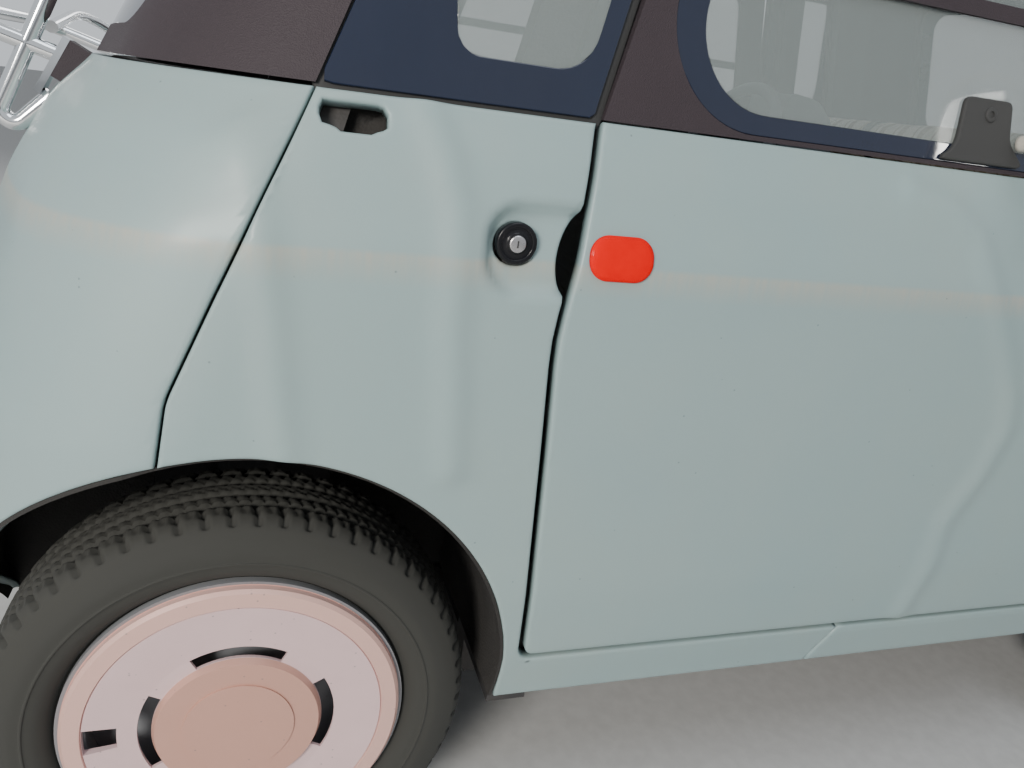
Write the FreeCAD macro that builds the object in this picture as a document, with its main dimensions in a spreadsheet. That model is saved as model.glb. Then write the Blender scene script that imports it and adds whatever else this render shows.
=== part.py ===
"""Two-seat electric microcar: a light quadricycle whose front and rear end panels are one
moulding, and whose left side is its right side turned half round about the vertical.

Frame: millimetres, +X forward, +Y to the driver's left, +Z up. The origin is on the ground,
midway between the axles and on the centre plane.
"""
import FreeCAD, Part
import Sketcher
import math
import os
from collections import namedtuple

from FreeCAD import Rotation, Vector

doc = FreeCAD.newDocument("Microcar")

# Driving dimensions: alias, value in millimetres or degrees, meaning
SIZES = (
    ("body_length", 2535, "front face to rear face"),
    ("body_width", 1400, "across the doors"),
    ("body_height", 1530, "ground to roof"),
    ("wheelbase", 1730, "front axle to rear axle"),
    ("wheel_track", 1180, "between the tyres' middle planes"),
    ("skirt_height", 286, "lower edge of the side panels"),
    ("sill_height", 361, "lower edge of the doors"),
    ("crease_height", 453, "lower crease of the sides"),
    ("flank_height", 650, "widest level of the body"),
    ("shoulder_height", 860, "shoulder crease"),
    ("brow_height", 950, "where the ends start to turn in"),
    ("belt_height", 1003, "lower edge of the windows"),
    ("divider_height", 1180, "bar across the door windows"),
    ("cant_height", 1440, "where the sides meet the roof"),
    ("end_bow_radius", 1500, "bow of both end faces seen from above"),
    ("panel_thickness", 22, "skin with its inner moulding"),
    ("frame_depth", 28, "depth of the frame's pressings"),
    ("frame_clearance", 0.3, "frame to the panels that it carries"),
    ("panel_seam", 3, "joint between two fixed panels"),
    ("door_gap", 8, "gap round a door below the belt"),
    ("door_top_gap", 20, "gap at the top of a door's swinging edge"),
    ("door_top_height", 1400, "upper edge of the doors"),
    ("door_skin", 16, "outer flange of a door"),
    ("door_depth", 44, "whole thickness of a door"),
    ("door_inset", 30, "inner door moulding back from the edge"),
    ("hinge_standoff", 9, "hinge line outside the widest skin"),
    ("hinge_radius", 6, "barrel of a door hinge"),
    ("hinge_pin_radius", 3, "pin of a door hinge"),
    ("hinge_play", 0.08, "radial clearance of a running pin"),
    ("arch_radius", 312, "wheel arch opening"),
    ("arch_height", 335, "centre of the wheel arch opening"),
    ("arch_depth", 335, "arch inward from the widest skin"),
    ("liner_thickness", 4, "wheel arch liner"),
    ("dish_depth", 14, "recess round a lock"),
    ("lock_radius", 21.5, "bezel of a lock"),
    ("tyre_diameter", 557, "outside of the tread"),
    ("tyre_width", 155, "across the sidewalls"),
    ("rim_radius", 178, "bead seat"),
    ("flange_radius", 195, "edge of the rim"),
    ("cover_radius", 190, "wheel cover"),
    ("cover_groove_radius", 166.4, "thin groove round the cover's disc"),
    ("cover_boss_radius", 95.5, "raised boss"),
    ("cover_cap_radius", 62.7, "centre cap"),
    ("cover_offset", 76, "cover face outside the tyre's middle plane"),
    ("slot_width", 15, "arc slots round the boss"),
    ("slot_span", 58, "angle of an arc slot"),
    ("notch_reach", 35, "valve notch, inward from the groove"),
    ("notch_span", 12, "angle of the valve notch"),
    ("axle_radius", 14, "stub axle"),
    ("stub_end", 48, "stub axle outside the tyre's middle plane"),
    ("beam_radius", 26, "rear axle tube"),
    ("glass_thickness", 5, "window panes"),
    ("rail_offset", 325, "frame rails from the centre plane"),
    ("rail_width", 50, "frame rails"),
    ("rail_depth", 56, "frame rails"),
    ("rail_length", 2280, "frame rails"),
    ("floor_height", 236, "underside of the floor pan"),
    ("floor_thickness", 30, "floor pan with its ribs"),
    ("cross_place", 490, "cross members' near side from the middle"),
    ("cross_width", 55, "cross members"),
    ("cross_reach", 500, "cross members' ends from the centre plane"),
    ("pad_side", 45, "jacking pads"),
    ("pad_drop", 4, "jacking pads below the cross members"),
    ("beam_reach", 500, "rear axle tube's ends from the centre plane"),
    ("hub_radius", 100, "rear hubs and brakes"),
    ("hub_place", 508, "rear hubs from the centre plane"),
    ("hub_thickness", 22, "rear hubs"),
    ("arm_end", 600, "rear arms' forward end from the middle"),
    ("arm_width", 40, "rear arms"),
    ("arm_depth", 38, "rear arms"),
    ("foot_length", 60, "feet of the rear arms"),
    ("foot_depth", 20, "feet of the rear arms"),
    ("kingpin_offset", 570, "kingpins from the centre plane"),
    ("kingpin_radius", 18, "kingpins"),
    ("kingpin_half", 135, "half a kingpin's length"),
    ("brake_radius", 90, "front brakes"),
    ("brake_width", 10, "front brakes"),
    ("brake_place", 545, "front brakes from the centre plane"),
    ("battery_place", 380, "battery case's rear end behind the middle"),
    ("battery_length", 500, "battery case"),
    ("battery_drop", 30, "battery case below the rails"),
    ("motor_radius", 95, "drive motor"),
    ("motor_length", 340, "drive motor"),
    ("motor_rise", 8, "drive motor above the floor pan"),
    ("mount_length", 120, "feet of the drive motor"),
    ("mount_width", 40, "feet of the drive motor"),
    ("mount_height", 60, "feet of the drive motor"),
    ("mount_place", 120, "feet of the drive motor from the centre plane"),
    ("rack_rod_radius", 20, "steering rack housing"),
    ("rack_rod_reach", 280, "steering rack's ends from the centre plane"),
    ("rack_rod_rise", 86, "steering rack above the floor pan's underside"),
    ("rack_rod_behind", 150, "steering rack behind the front axle"),
    ("bracket_width", 30, "feet of the steering rack"),
    ("bracket_place", 200, "feet of the steering rack from the centre plane"),
    ("steering_wheel_radius", 175, "steering wheel"),
    ("steering_rim_radius", 14, "steering wheel rim"),
    ("column_tilt", 20, "steering column below level"),
    ("dash_drop", 16, "top of the dashboard below the windows' lower edge"),
    ("roll_radius", 50, "rolled cloth on the dashboard"),
    ("roll_length", 1040, "rolled cloth on the dashboard"),
    ("roll_place", 610, "rolled cloth ahead of the middle"),
    ("rack_tube_radius", 10, "luggage rack tube"),
)

sheet = doc.addObject("Spreadsheet::Sheet", "sizes")
for row, (alias, value, meaning) in enumerate(SIZES, start=1):
    sheet.set(f"A{row}", alias)
    sheet.set(f"B{row}", str(value))
    sheet.setAlias(f"B{row}", alias)
    sheet.set(f"C{row}", meaning)
doc.recompute()


def size(alias):
    """Return one driving dimension as a plain number."""
    return float(getattr(sheet, alias))


SUB_PARTS = []


def sub_part(shape, name):
    """Add a finished shape to the document as a sub-part."""
    feature = doc.addObject("Part::Feature", name)
    feature.Label = name
    feature.Shape = shape
    SUB_PARTS.append(feature)
    return feature


def keep(item, label):
    """Make a finished object one of the sub-parts."""
    item.Label = label
    SUB_PARTS.append(item)
    return item


def bound(kind, name, **expressions):
    """Add an object whose properties follow the sheet; x, y and z give its place."""
    item = doc.addObject(kind, name)
    for key, expression in expressions.items():
        item.setExpression(f"Placement.Base.{key}" if key in ("x", "y", "z") else key, expression)
    return item


def bound_box(name, length, width, height, x, y, z):
    """Part::Box from expressions."""
    return bound("Part::Box", name, Length=length, Width=width, Height=height, x=x, y=y, z=z)


def bound_rod(name, radius, length, x, y, z, axis=Vector(0, 1, 0)):
    """Part::Cylinder from expressions, along an axis."""
    item = bound("Part::Cylinder", name, Radius=radius, Height=length, x=x, y=y, z=z)
    item.Placement.Rotation = Rotation(Vector(0, 0, 1), axis)
    return item


def joined(name, items):
    """Part::MultiFuse of several objects."""
    item = doc.addObject("Part::MultiFuse", name)
    item.Shapes = items
    item.Refine = True
    return item


def without(name, base, tool):
    """Part::Cut of one object by another."""
    item = doc.addObject("Part::Cut", name)
    item.Base = base
    item.Tool = tool
    return item


def bound_sketch(body, name, vertices, role="XY_Plane"):
    """Closed sketch of straight lines whose vertices are pairs of expressions."""
    sketch = body.newObject("Sketcher::SketchObject", name)
    sketch.AttachmentSupport = (next(f for f in body.Origin.OriginFeatures if f.Role == role), "")
    sketch.MapMode = "FlatFace"
    count = len(vertices)
    spread = [Vector(100 * math.cos(2 * math.pi * i / count), 100 * math.sin(2 * math.pi * i / count), 0)
              for i in range(count)]
    for index in range(count):
        sketch.addGeometry(Part.LineSegment(spread[index], spread[(index + 1) % count]), False)
    for index in range(count):
        sketch.addConstraint(Sketcher.Constraint("Coincident", index, 2, (index + 1) % count, 1))
    for index, pair in enumerate(vertices):
        for kind, expression, start in zip(("DistanceX", "DistanceY"), pair, (spread[index].x, spread[index].y)):
            number = sketch.addConstraint(Sketcher.Constraint(kind, -1, 1, index, 1, start))
            sketch.setExpression(f"Constraints[{number}]", expression)
    return sketch


def turned_profile(body, kind, name, vertices):
    """Revolution or groove of a profile (radius, place along the axis) about the body's Y axis."""
    sketch = bound_sketch(body, name + "_profile", vertices)
    feature = body.newObject(f"PartDesign::{kind}", name)
    feature.Profile = sketch
    feature.ReferenceAxis = (sketch, ["V_Axis"])
    return feature


# Outline helpers


def rounded_wire(corners, lift):
    """Closed wire through corners (a, b, radius); lift turns (a, b) into a point."""
    edges = []
    count = len(corners)
    ends = []
    for index, (a, b, radius) in enumerate(corners):
        before = corners[index - 1]
        after = corners[(index + 1) % count]
        to_before = Vector(before[0] - a, before[1] - b, 0).normalize()
        to_after = Vector(after[0] - a, after[1] - b, 0).normalize()
        corner = Vector(a, b, 0)
        if radius <= 0:
            ends.append((corner, corner, corner))
            continue
        half = to_before.getAngle(to_after) / 2
        reach = radius / math.tan(half)
        middle_way = (to_before + to_after).normalize()
        centre = corner + middle_way * (radius / math.sin(half))
        ends.append((corner + to_before * reach, centre - middle_way * radius, corner + to_after * reach))
    for index, (start, middle, end) in enumerate(ends):
        if (end - start).Length > 1e-6:
            arc = Part.Arc(lift(start), lift(middle), lift(end))
            edges.append(arc.toShape())
        following = ends[(index + 1) % count][0]
        if (following - end).Length > 1e-6:
            edges.append(Part.LineSegment(lift(end), lift(following)).toShape())
    return Part.Wire(edges)


def grown(corners, distance):
    """The same closed outline with every straight side moved outward by a distance."""
    count = len(corners)
    area = sum(corners[i - 1][0] * corners[i][1] - corners[i][0] * corners[i - 1][1] for i in range(count))
    sign = 1 if area > 0 else -1
    lines = []
    for index in range(count):
        a0, b0 = corners[index - 1][:2]
        a1, b1 = corners[index][:2]
        length = math.hypot(a1 - a0, b1 - b0)
        normal = ((b1 - b0) / length * sign, -(a1 - a0) / length * sign)
        lines.append((normal, normal[0] * a0 + normal[1] * b0 + distance))
    result = []
    for index in range(count):
        (n0, d0), (n1, d1) = lines[index], lines[(index + 1) % count]
        cross = n0[0] * n1[1] - n0[1] * n1[0]
        a = (d0 * n1[1] - d1 * n0[1]) / cross
        b = (n0[0] * d1 - n1[0] * d0) / cross
        radius = corners[index][2]
        turns_out = cross * sign > 0
        if radius > 0:
            radius = max(radius + (distance if turns_out else -distance), 1)
        result.append((a, b, radius))
    return result


def side_prism(corners, y_from, y_to):
    """Prism across the car whose outline (x, z, radius) is drawn in side view."""
    wire = rounded_wire(corners, lambda p: Vector(p.x, y_from, p.y))
    return Part.Face(wire).extrude(Vector(0, y_to - y_from, 0))


def end_prism(corners, x_from, x_to):
    """Prism along the car whose outline (y, z, radius) is drawn in end view."""
    wire = rounded_wire(corners, lambda p: Vector(x_from, p.x, p.y))
    return Part.Face(wire).extrude(Vector(x_to - x_from, 0, 0))


def plan_prism(corners, z_from, z_to):
    """Upright prism whose outline (x, y, radius) is drawn in plan."""
    wire = rounded_wire(corners, lambda p: Vector(p.x, p.y, z_from))
    return Part.Face(wire).extrude(Vector(0, 0, z_to - z_from))


def rectangle(a_from, a_to, b_from, b_to, radius=0.0):
    """Corners of a rectangle for the prism helpers."""
    return [(a_from, b_from, radius), (a_to, b_from, radius), (a_to, b_to, radius), (a_from, b_to, radius)]


def block(x_from, x_to, y_from, y_to, z_from, z_to):
    """Box between two corners."""
    return Part.makeBox(x_to - x_from, y_to - y_from, z_to - z_from, Vector(x_from, y_from, z_from))


def rod(start, end, radius):
    """Round bar between two points."""
    return Part.makeCylinder(radius, (end - start).Length, start, end - start)


def turned(shape):
    """The same shape turned half round about the vertical."""
    return mirrored_x(mirrored_y(shape))


def mirrored_x(shape):
    """The same shape mirrored front to rear."""
    return shape.mirror(Vector(), Vector(1, 0, 0))


def mirrored_y(shape):
    """The same shape mirrored left to right."""
    return shape.mirror(Vector(), Vector(0, 1, 0))


def fused(shapes):
    """One solid from touching or overlapping shapes."""
    return shapes[0].multiFuse(shapes[1:]).removeSplitter()


# Body form: outlines seen from above, at rising heights
Section = namedtuple("Section", "height end_inset side_inset corner_radius")
BODY_SECTIONS = (
    Section(size("skirt_height"), 45, 26, 240),
    Section(size("sill_height"), 20, 10, 250),
    Section(size("crease_height"), 2, 2, 258),
    Section(size("flank_height"), 14, 0, 262),
    Section(size("shoulder_height"), 92, 3, 262),
    Section(size("brow_height"), 143, 27, 258),
    Section(size("belt_height"), 197, 50, 250),
    Section(size("divider_height"), 290, 80, 235),
    Section(size("cant_height"), 430, 128, 210),
    Section(size("body_height"), 640, 300, 150),
)
HALF_LENGTH = size("body_length") / 2
HALF_WIDTH = size("body_width") / 2
AXLE_X = size("wheelbase") / 2
WHEEL_Y = size("wheel_track") / 2
WHEEL_Z = size("tyre_diameter") / 2
BELT = size("belt_height")
CANT = size("cant_height")
SILL = size("sill_height")
SKIRT = size("skirt_height")


def plan_outline(section, inward):
    """Outline at one height: straight sides, round corners and bowed ends."""
    half_length = HALF_LENGTH - section.end_inset - inward
    half_width = HALF_WIDTH - section.side_inset - inward
    corner = section.corner_radius - inward
    bow = size("end_bow_radius") - inward
    corner_y = half_width - corner
    reach = math.sqrt((bow - corner) ** 2 - corner_y ** 2)
    bow_x = half_length - bow
    corner_x = bow_x + reach
    turn = math.atan2(corner_y, reach)
    middle = (turn + math.pi / 2) / 2
    side = Vector(corner_x, half_width, section.height)
    bend = Vector(corner_x + corner * math.cos(middle), corner_y + corner * math.sin(middle), section.height)
    end = Vector(bow_x + bow * math.cos(turn), bow * math.sin(turn), section.height)

    def flip(point, x_sign, y_sign):
        return Vector(point.x * x_sign, point.y * y_sign, point.z)

    def arc(start, mid, stop):
        return Part.Arc(start, mid, stop).toShape()

    def line(start, stop):
        return Part.LineSegment(start, stop).toShape()

    nose = Vector(half_length, 0, section.height)
    return Part.Wire([
        line(flip(side, -1, -1), flip(side, 1, -1)),
        arc(flip(side, 1, -1), flip(bend, 1, -1), flip(end, 1, -1)),
        arc(flip(end, 1, -1), nose, end),
        arc(end, bend, side),
        line(side, flip(side, -1, 1)),
        arc(flip(side, -1, 1), flip(bend, -1, 1), flip(end, -1, 1)),
        arc(flip(end, -1, 1), flip(nose, -1, 1), flip(end, -1, -1)),
        arc(flip(end, -1, -1), flip(bend, -1, -1), flip(side, -1, -1)),
    ])


def body_form(inward, lowered):
    """Solid inside the body's outer surface, inset all round and lowered at the roof."""
    top = BODY_SECTIONS[-1]
    sections = list(BODY_SECTIONS[:-1]) + [top._replace(height=top.height - lowered)]
    return Part.makeLoft([plan_outline(section, inward) for section in sections], True, True)


PANEL = size("panel_thickness")
OUTER = body_form(0, 0)
PANEL_SHELL = OUTER.cut(body_form(PANEL, PANEL))
FRAME_OUT = PANEL + size("frame_clearance")
FRAME_IN = FRAME_OUT + size("frame_depth")
FRAME_SHELL = body_form(FRAME_OUT, FRAME_OUT).cut(body_form(FRAME_IN, FRAME_IN))
DOOR_SKIN_SHELL = OUTER.cut(body_form(size("door_skin"), PANEL))
DOOR_DEEP_SHELL = body_form(size("door_skin") + size("frame_clearance"), PANEL).cut(
    body_form(size("door_depth"), PANEL))
GLASS_OUT = 2.0
GLASS_SHELL = body_form(GLASS_OUT, PANEL).cut(body_form(GLASS_OUT + size("glass_thickness"), PANEL + 10))

# Lines of the right rear quarter in side view, from the belt down: x at height
DOOR_EDGE_BELT = -518
DOOR_EDGE_WIDE = -549
DOOR_EDGE_SILL = -526
DOOR_EDGE_TOP = -405
DOOR_EDGE_WIDE_HEIGHT = 780
SPLIT_BELT = -804
SPLIT_MIDDLE = (-889, 807)
SPLIT_LOW = (-932, 705)
SPLIT_ARCH = (-941, 630)
QUARTER_TOP = -640
SILL_JOINT = (-40, -70)


FAR = HALF_WIDTH + 60


def arch_cutters():
    """Cylinders across the car that open the four wheel arches."""
    depth = size("arch_depth")
    cutters = []
    for x in (-AXLE_X, AXLE_X):
        for y, direction in ((-FAR, 1), (FAR, -1)):
            cutters.append(Part.makeCylinder(
                size("arch_radius"), depth + 60, Vector(x, y, size("arch_height")), Vector(0, direction, 0)))
            cutters.append(block(x - size("arch_radius"), x + size("arch_radius"),
                                 min(y, y + direction * (depth + 60)), max(y, y + direction * (depth + 60)),
                                 0, size("arch_height")))
    return cutters


ARCHES = arch_cutters()

# Side panels


def side_panel(joint_top, joint_low):
    """Right rear quarter with its part of the sill, which ends at a slanted joint."""
    seam = size("panel_seam")
    gap = size("door_gap")
    corners = [
        (SPLIT_BELT, BELT - seam, 0),
        (SPLIT_MIDDLE[0], SPLIT_MIDDLE[1], 200),
        (SPLIT_LOW[0], SPLIT_LOW[1], 60),
        (SPLIT_ARCH[0], SPLIT_ARCH[1], 0),
        (SPLIT_ARCH[0], SKIRT, 0),
        (joint_low, SKIRT, 0),
        (joint_top, SILL - gap, 0),
        (DOOR_EDGE_SILL - gap, SILL - gap, 20),
        (DOOR_EDGE_WIDE - gap, DOOR_EDGE_WIDE_HEIGHT, 300),
        (DOOR_EDGE_BELT - gap, BELT - seam, 0),
    ]
    panel = PANEL_SHELL.common(side_prism(corners, -FAR, 0))
    return panel.cut(ARCHES[0].multiFuse(ARCHES[1:]))


def end_panel():
    """Rear end below the window, from split line to split line."""
    seam = size("panel_seam")
    corners = [
        (SPLIT_BELT - seam, BELT - seam, 0),
        (SPLIT_MIDDLE[0] - seam, SPLIT_MIDDLE[1], 200),
        (SPLIT_LOW[0] - seam, SPLIT_LOW[1], 60),
        (SPLIT_ARCH[0] - seam, SPLIT_ARCH[1], 0),
        (SPLIT_ARCH[0] - seam, SKIRT, 0),
        (-HALF_LENGTH - 50, SKIRT, 0),
        (-HALF_LENGTH - 50, BELT - seam, 0),
    ]
    panel = PANEL_SHELL.common(side_prism(corners, -FAR, FAR))
    return panel.cut(ARCHES[0].multiFuse(ARCHES[1:]))


LATCH_SIDE = side_panel(*SILL_JOINT)
PLAIN_SIDE = side_panel(-SILL_JOINT[0] - size("panel_seam"), -SILL_JOINT[1] - size("panel_seam"))
PLAIN_END = end_panel()
LAMP_Y = 470
LAMP_Z = 640
LAMP_RADIUS = 85


def lamp_cutter(radius):
    """Round holes through the rear end for its two lamps."""
    return [Part.makeCylinder(radius, 400, Vector(-HALF_LENGTH - 60, y, LAMP_Z), Vector(1, 0, 0))
            for y in (-LAMP_Y, LAMP_Y)]


END_PANEL = PLAIN_END.cut(Part.makeCompound(lamp_cutter(LAMP_RADIUS + 2)))
sub_part(END_PANEL, "rear_end_panel")
sub_part(turned(END_PANEL), "front_end_panel")

FLAP_HOLE = rectangle(-801, -738, 966, 990, 5)
LOCK_X = -606
LOCK_Z = 877
LOCK_DEPTH = 13
LOCK_FACE = HALF_WIDTH - 11
BARREL_RADIUS = 9
BARREL_PROUD = 3
FINGER_Z = 862
FINGER_HALF = 43
FINGER_DEPTH = 13
lock_bore = Part.makeCylinder(size("lock_radius") + size("frame_clearance"), 120,
                              Vector(LOCK_X, -FAR, LOCK_Z), Vector(0, 1, 0))
dish_outline = [(-643, 822, 42), (-520, 822, 0), (-520, 921, 0), (-643, 921, 42)]
DISH_SHELL = OUTER.cut(body_form(size("dish_depth"), 0))
dish = DISH_SHELL.common(side_prism(dish_outline, -FAR, -300))
finger_radius = (FINGER_HALF ** 2 + FINGER_DEPTH ** 2) / (2 * FINGER_DEPTH)
FINGER_EDGE = DOOR_EDGE_WIDE - size("door_gap") + 11
finger = Part.makeCylinder(finger_radius, FAR, Vector(FINGER_EDGE - FINGER_DEPTH + finger_radius, -FAR, FINGER_Z),
                           Vector(0, 1, 0))
LOCK_PANEL = LATCH_SIDE.cut(dish).cut(finger).cut(lock_bore)
sub_part(LOCK_PANEL.cut(side_prism(FLAP_HOLE, -FAR, -HALF_WIDTH + 120)), "side_panel_rear_right")
sub_part(turned(LOCK_PANEL), "side_panel_front_left")

# Locks
lock = Part.makeCylinder(size("lock_radius"), LOCK_DEPTH, Vector(LOCK_X, -LOCK_FACE, LOCK_Z), Vector(0, 1, 0))
barrel = Part.makeCylinder(BARREL_RADIUS, 2 * BARREL_PROUD, Vector(LOCK_X, -LOCK_FACE - BARREL_PROUD, LOCK_Z),
                           Vector(0, 1, 0))
lock = lock.fuse(barrel)
sub_part(Part.makeCompound([lock, turned(lock)]), "door_locks")

# Glazing and its surrounds
FIT = size("frame_clearance")
WINDOW_BOTTOM = BELT + 32
WINDOW_TOP = CANT - 45
DOOR_TOP = size("door_top_height")
end_window = [
    (-500, WINDOW_BOTTOM, 60), (500, WINDOW_BOTTOM, 60), (430, WINDOW_TOP, 60), (-430, WINDOW_TOP, 60)]
quarter_window = [
    (SPLIT_BELT, BELT, 6),
    (DOOR_EDGE_BELT - size("door_gap"), BELT, 6),
    (DOOR_EDGE_TOP - size("door_top_gap"), DOOR_TOP, 6),
    (QUARTER_TOP, DOOR_TOP, 6),
]
surround_corners = [
    (SPLIT_BELT - FIT, BELT, 0),
    (QUARTER_TOP - FIT, DOOR_TOP + 6 - FIT, 0),
    (-HALF_LENGTH - 50, DOOR_TOP + 6 - FIT, 0),
    (-HALF_LENGTH - 50, BELT, 0),
]
surround = PANEL_SHELL.common(side_prism(surround_corners, -FAR, FAR))
surround = surround.cut(end_prism(end_window, -HALF_LENGTH - 50, -500))
sub_part(surround, "rear_window_surround")
sub_part(turned(surround), "front_window_surround")
end_pane = GLASS_SHELL.common(end_prism(grown(end_window, -FIT), -HALF_LENGTH - 50, -500))
quarter = GLASS_SHELL.common(side_prism(quarter_window, -FAR, 0))
sub_part(Part.makeCompound([
    end_pane, turned(end_pane), quarter, mirrored_x(quarter), mirrored_y(quarter), turned(quarter)]),
    "fixed_windows")
SEAL_SHELL = body_form(GLASS_OUT + size("glass_thickness"), PANEL).cut(body_form(PANEL, PANEL))
seal_ring = side_prism(grown(quarter_window, -2), -FAR, 0).cut(side_prism(grown(quarter_window, -34), -FAR, 0))
seal = SEAL_SHELL.common(seal_ring)
sub_part(Part.makeCompound([seal, mirrored_x(seal), mirrored_y(seal), turned(seal)]), "window_seals")

# Roof
roof_band = block(-HALF_LENGTH, HALF_LENGTH, -FAR, FAR, DOOR_TOP + 6, size("body_height") + 10)
roof = PANEL_SHELL.common(roof_band)
roof_hole = rectangle(-520, 520, -330, 330, 60)
roof = roof.cut(plan_prism(roof_hole, CANT, size("body_height") + 20))
sub_part(roof, "roof_panel")
sub_part(plan_prism(grown(roof_hole, -FIT), size("body_height") - 10, size("body_height") - 4), "roof_glass")

# Doors
HINGE_X = -DOOR_EDGE_WIDE + size("door_gap") / 2
HINGE_Y = HALF_WIDTH + size("hinge_standoff")
HINGE_HEIGHTS = (560, 740)
HINGE_HALF = 20
HINGE_LUG = 25
door_outline = [
    (DOOR_EDGE_SILL, SILL, 12),
    (DOOR_EDGE_WIDE, DOOR_EDGE_WIDE_HEIGHT, 300),
    (DOOR_EDGE_BELT, BELT, 60),
    (DOOR_EDGE_TOP, DOOR_TOP, 12),
    (-DOOR_EDGE_TOP, DOOR_TOP, 12),
    (-DOOR_EDGE_BELT, BELT, 60),
    (-DOOR_EDGE_WIDE, DOOR_EDGE_WIDE_HEIGHT, 300),
    (-DOOR_EDGE_SILL, SILL, 12),
]
door_module = [
    (DOOR_EDGE_SILL, SILL, 40),
    (DOOR_EDGE_WIDE, DOOR_EDGE_WIDE_HEIGHT, 300),
    (DOOR_EDGE_BELT, BELT, 40),
    (-DOOR_EDGE_BELT, BELT, 40),
    (-DOOR_EDGE_WIDE, DOOR_EDGE_WIDE_HEIGHT, 300),
    (-DOOR_EDGE_SILL, SILL, 40),
]
door_window = [
    (-483, BELT + 5, 110), (483, BELT + 5, 110), (379, DOOR_TOP - 25, 60), (-379, DOOR_TOP - 25, 60)]
door_clear = [
    (-439, BELT + 27, 85), (439, BELT + 27, 85), (346, DOOR_TOP - 52, 45), (-346, DOOR_TOP - 52, 45)]


def door_hinge_leaf(height):
    """Barrel and leaf on the door's side of one hinge."""
    barrel = Part.makeCylinder(size("hinge_radius"), 2 * HINGE_HALF,
                               Vector(HINGE_X, -HINGE_Y, height - HINGE_HALF))
    leaf = block(HINGE_X - 60, HINGE_X - 1, -HALF_WIDTH - 6, -HALF_WIDTH + 6,
                 height - HINGE_HALF, height + HINGE_HALF)
    neck = block(HINGE_X - 14, HINGE_X - 1, -HINGE_Y - 5, -HALF_WIDTH, height - HINGE_HALF, height + HINGE_HALF)
    bore = Part.makeCylinder(size("hinge_pin_radius") + size("hinge_play"), 4 * HINGE_HALF,
                             Vector(HINGE_X, -HINGE_Y, height - 2 * HINGE_HALF))
    return barrel.multiFuse([leaf, neck]).cut(bore)


def body_hinge_plate(height, clearance):
    """Plate let into the side panel that carries one hinge."""
    return block(HINGE_X + 5 - clearance, HINGE_X + 60 + clearance, -HALF_WIDTH - 1, -HALF_WIDTH + 8 + clearance,
                 height - HINGE_HALF - HINGE_LUG - clearance, height + HINGE_HALF + HINGE_LUG + clearance)


def body_hinge(height):
    """Plate, lugs and pin on the body's side of one hinge."""
    pieces = [body_hinge_plate(height, 0)]
    for low in (height - HINGE_HALF - HINGE_LUG, height + HINGE_HALF + FIT):
        tall = HINGE_LUG - FIT
        pieces.append(Part.makeCylinder(size("hinge_radius"), tall, Vector(HINGE_X, -HINGE_Y, low)))
        pieces.append(block(HINGE_X, HINGE_X + 40, -HINGE_Y - 5, -HALF_WIDTH, low, low + tall))
    pieces.append(Part.makeCylinder(size("hinge_pin_radius"), 2 * (HINGE_HALF + HINGE_LUG),
                                    Vector(HINGE_X, -HINGE_Y, height - HINGE_HALF - HINGE_LUG)))
    return pieces[0].multiFuse(pieces[1:])


DIVIDER_HALF = 9
DIVIDER_PROUD = 6
door_flange = DOOR_SKIN_SHELL.common(side_prism(door_outline, -FAR, -300))
lower_flange = door_flange.common(block(-700, 700, -FAR, 0, 0, BELT - 0.1))
upper_flange = door_flange.common(block(-700, 700, -FAR, 0, BELT + 0.1, CANT))
door_lining = DOOR_DEEP_SHELL.common(side_prism(grown(door_module, -size("door_inset")), -FAR, -300))
door_skin = lower_flange.multiFuse([door_hinge_leaf(height) for height in HINGE_HEIGHTS])
DIVIDER_SHELL = body_form(-DIVIDER_PROUD, 0).cut(body_form(GLASS_OUT - FIT, 0))
divider_band = side_prism(rectangle(-500, 500, size("divider_height") - DIVIDER_HALF,
                                    size("divider_height") + DIVIDER_HALF), -FAR, -300)
divider = DIVIDER_SHELL.common(divider_band).common(side_prism(grown(door_window, 6), -FAR, -300))
REBATE_SHELL = OUTER.cut(body_form(GLASS_OUT + size("glass_thickness") + FIT, PANEL))
door_rebate = REBATE_SHELL.common(side_prism(door_window, -FAR, -300))
door_frame = upper_flange.cut(door_rebate).cut(side_prism(door_clear, -FAR, 0))
door_frame = door_frame.fuse(divider)
door_pane = GLASS_SHELL.common(side_prism(grown(door_window, -FIT), -FAR, 0)).cut(divider)
MARKER_X = -492
MARKER_Z = 870
MARKER_SHELL = body_form(-4, 0).cut(body_form(-FIT, 0))
marker_outline = rectangle(MARKER_X - 36.5, MARKER_X + 36.5, MARKER_Z - 23, MARKER_Z + 23, 21)
door_marker = MARKER_SHELL.common(side_prism(marker_outline, -FAR, -300))
MIRROR_SHELL = body_form(-4, 0).cut(body_form(GLASS_OUT - FIT, 0))
mirror_plate = MIRROR_SHELL.common(side_prism(rectangle(-42, 42, 1044, 1116, 12), -FAR, -300))
mirror_root = Vector(10, -645, 1080)
mirror_head = Vector(85, -735, 1092)
mirror_dish = Part.makeCylinder(72, 45, mirror_head - Vector(10, 0, 0), Vector(1, 0, 0))
door_mirror = mirror_plate.multiFuse([rod(mirror_root, mirror_head, 11), mirror_dish])
DOOR_PIECES = (
    ("skin", door_skin), ("lining", door_lining), ("frame", door_frame), ("glass", door_pane),
    ("marker", door_marker), ("mirror", door_mirror))
for side in ("right", "left"):
    for piece_name, piece in DOOR_PIECES:
        if side == "left":
            piece = mirrored_y(piece) if piece_name == "mirror" else turned(piece)
        sub_part(piece, f"door_{side}_{piece_name}")
hinge_cuts = [body_hinge_plate(z, FIT) for z in HINGE_HEIGHTS]
hinge_cuts += [block(HINGE_X - 20, HINGE_X + 5, -HALF_WIDTH - 10, -HALF_WIDTH + 12, z - 25, z + 25)
               for z in HINGE_HEIGHTS]
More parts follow.
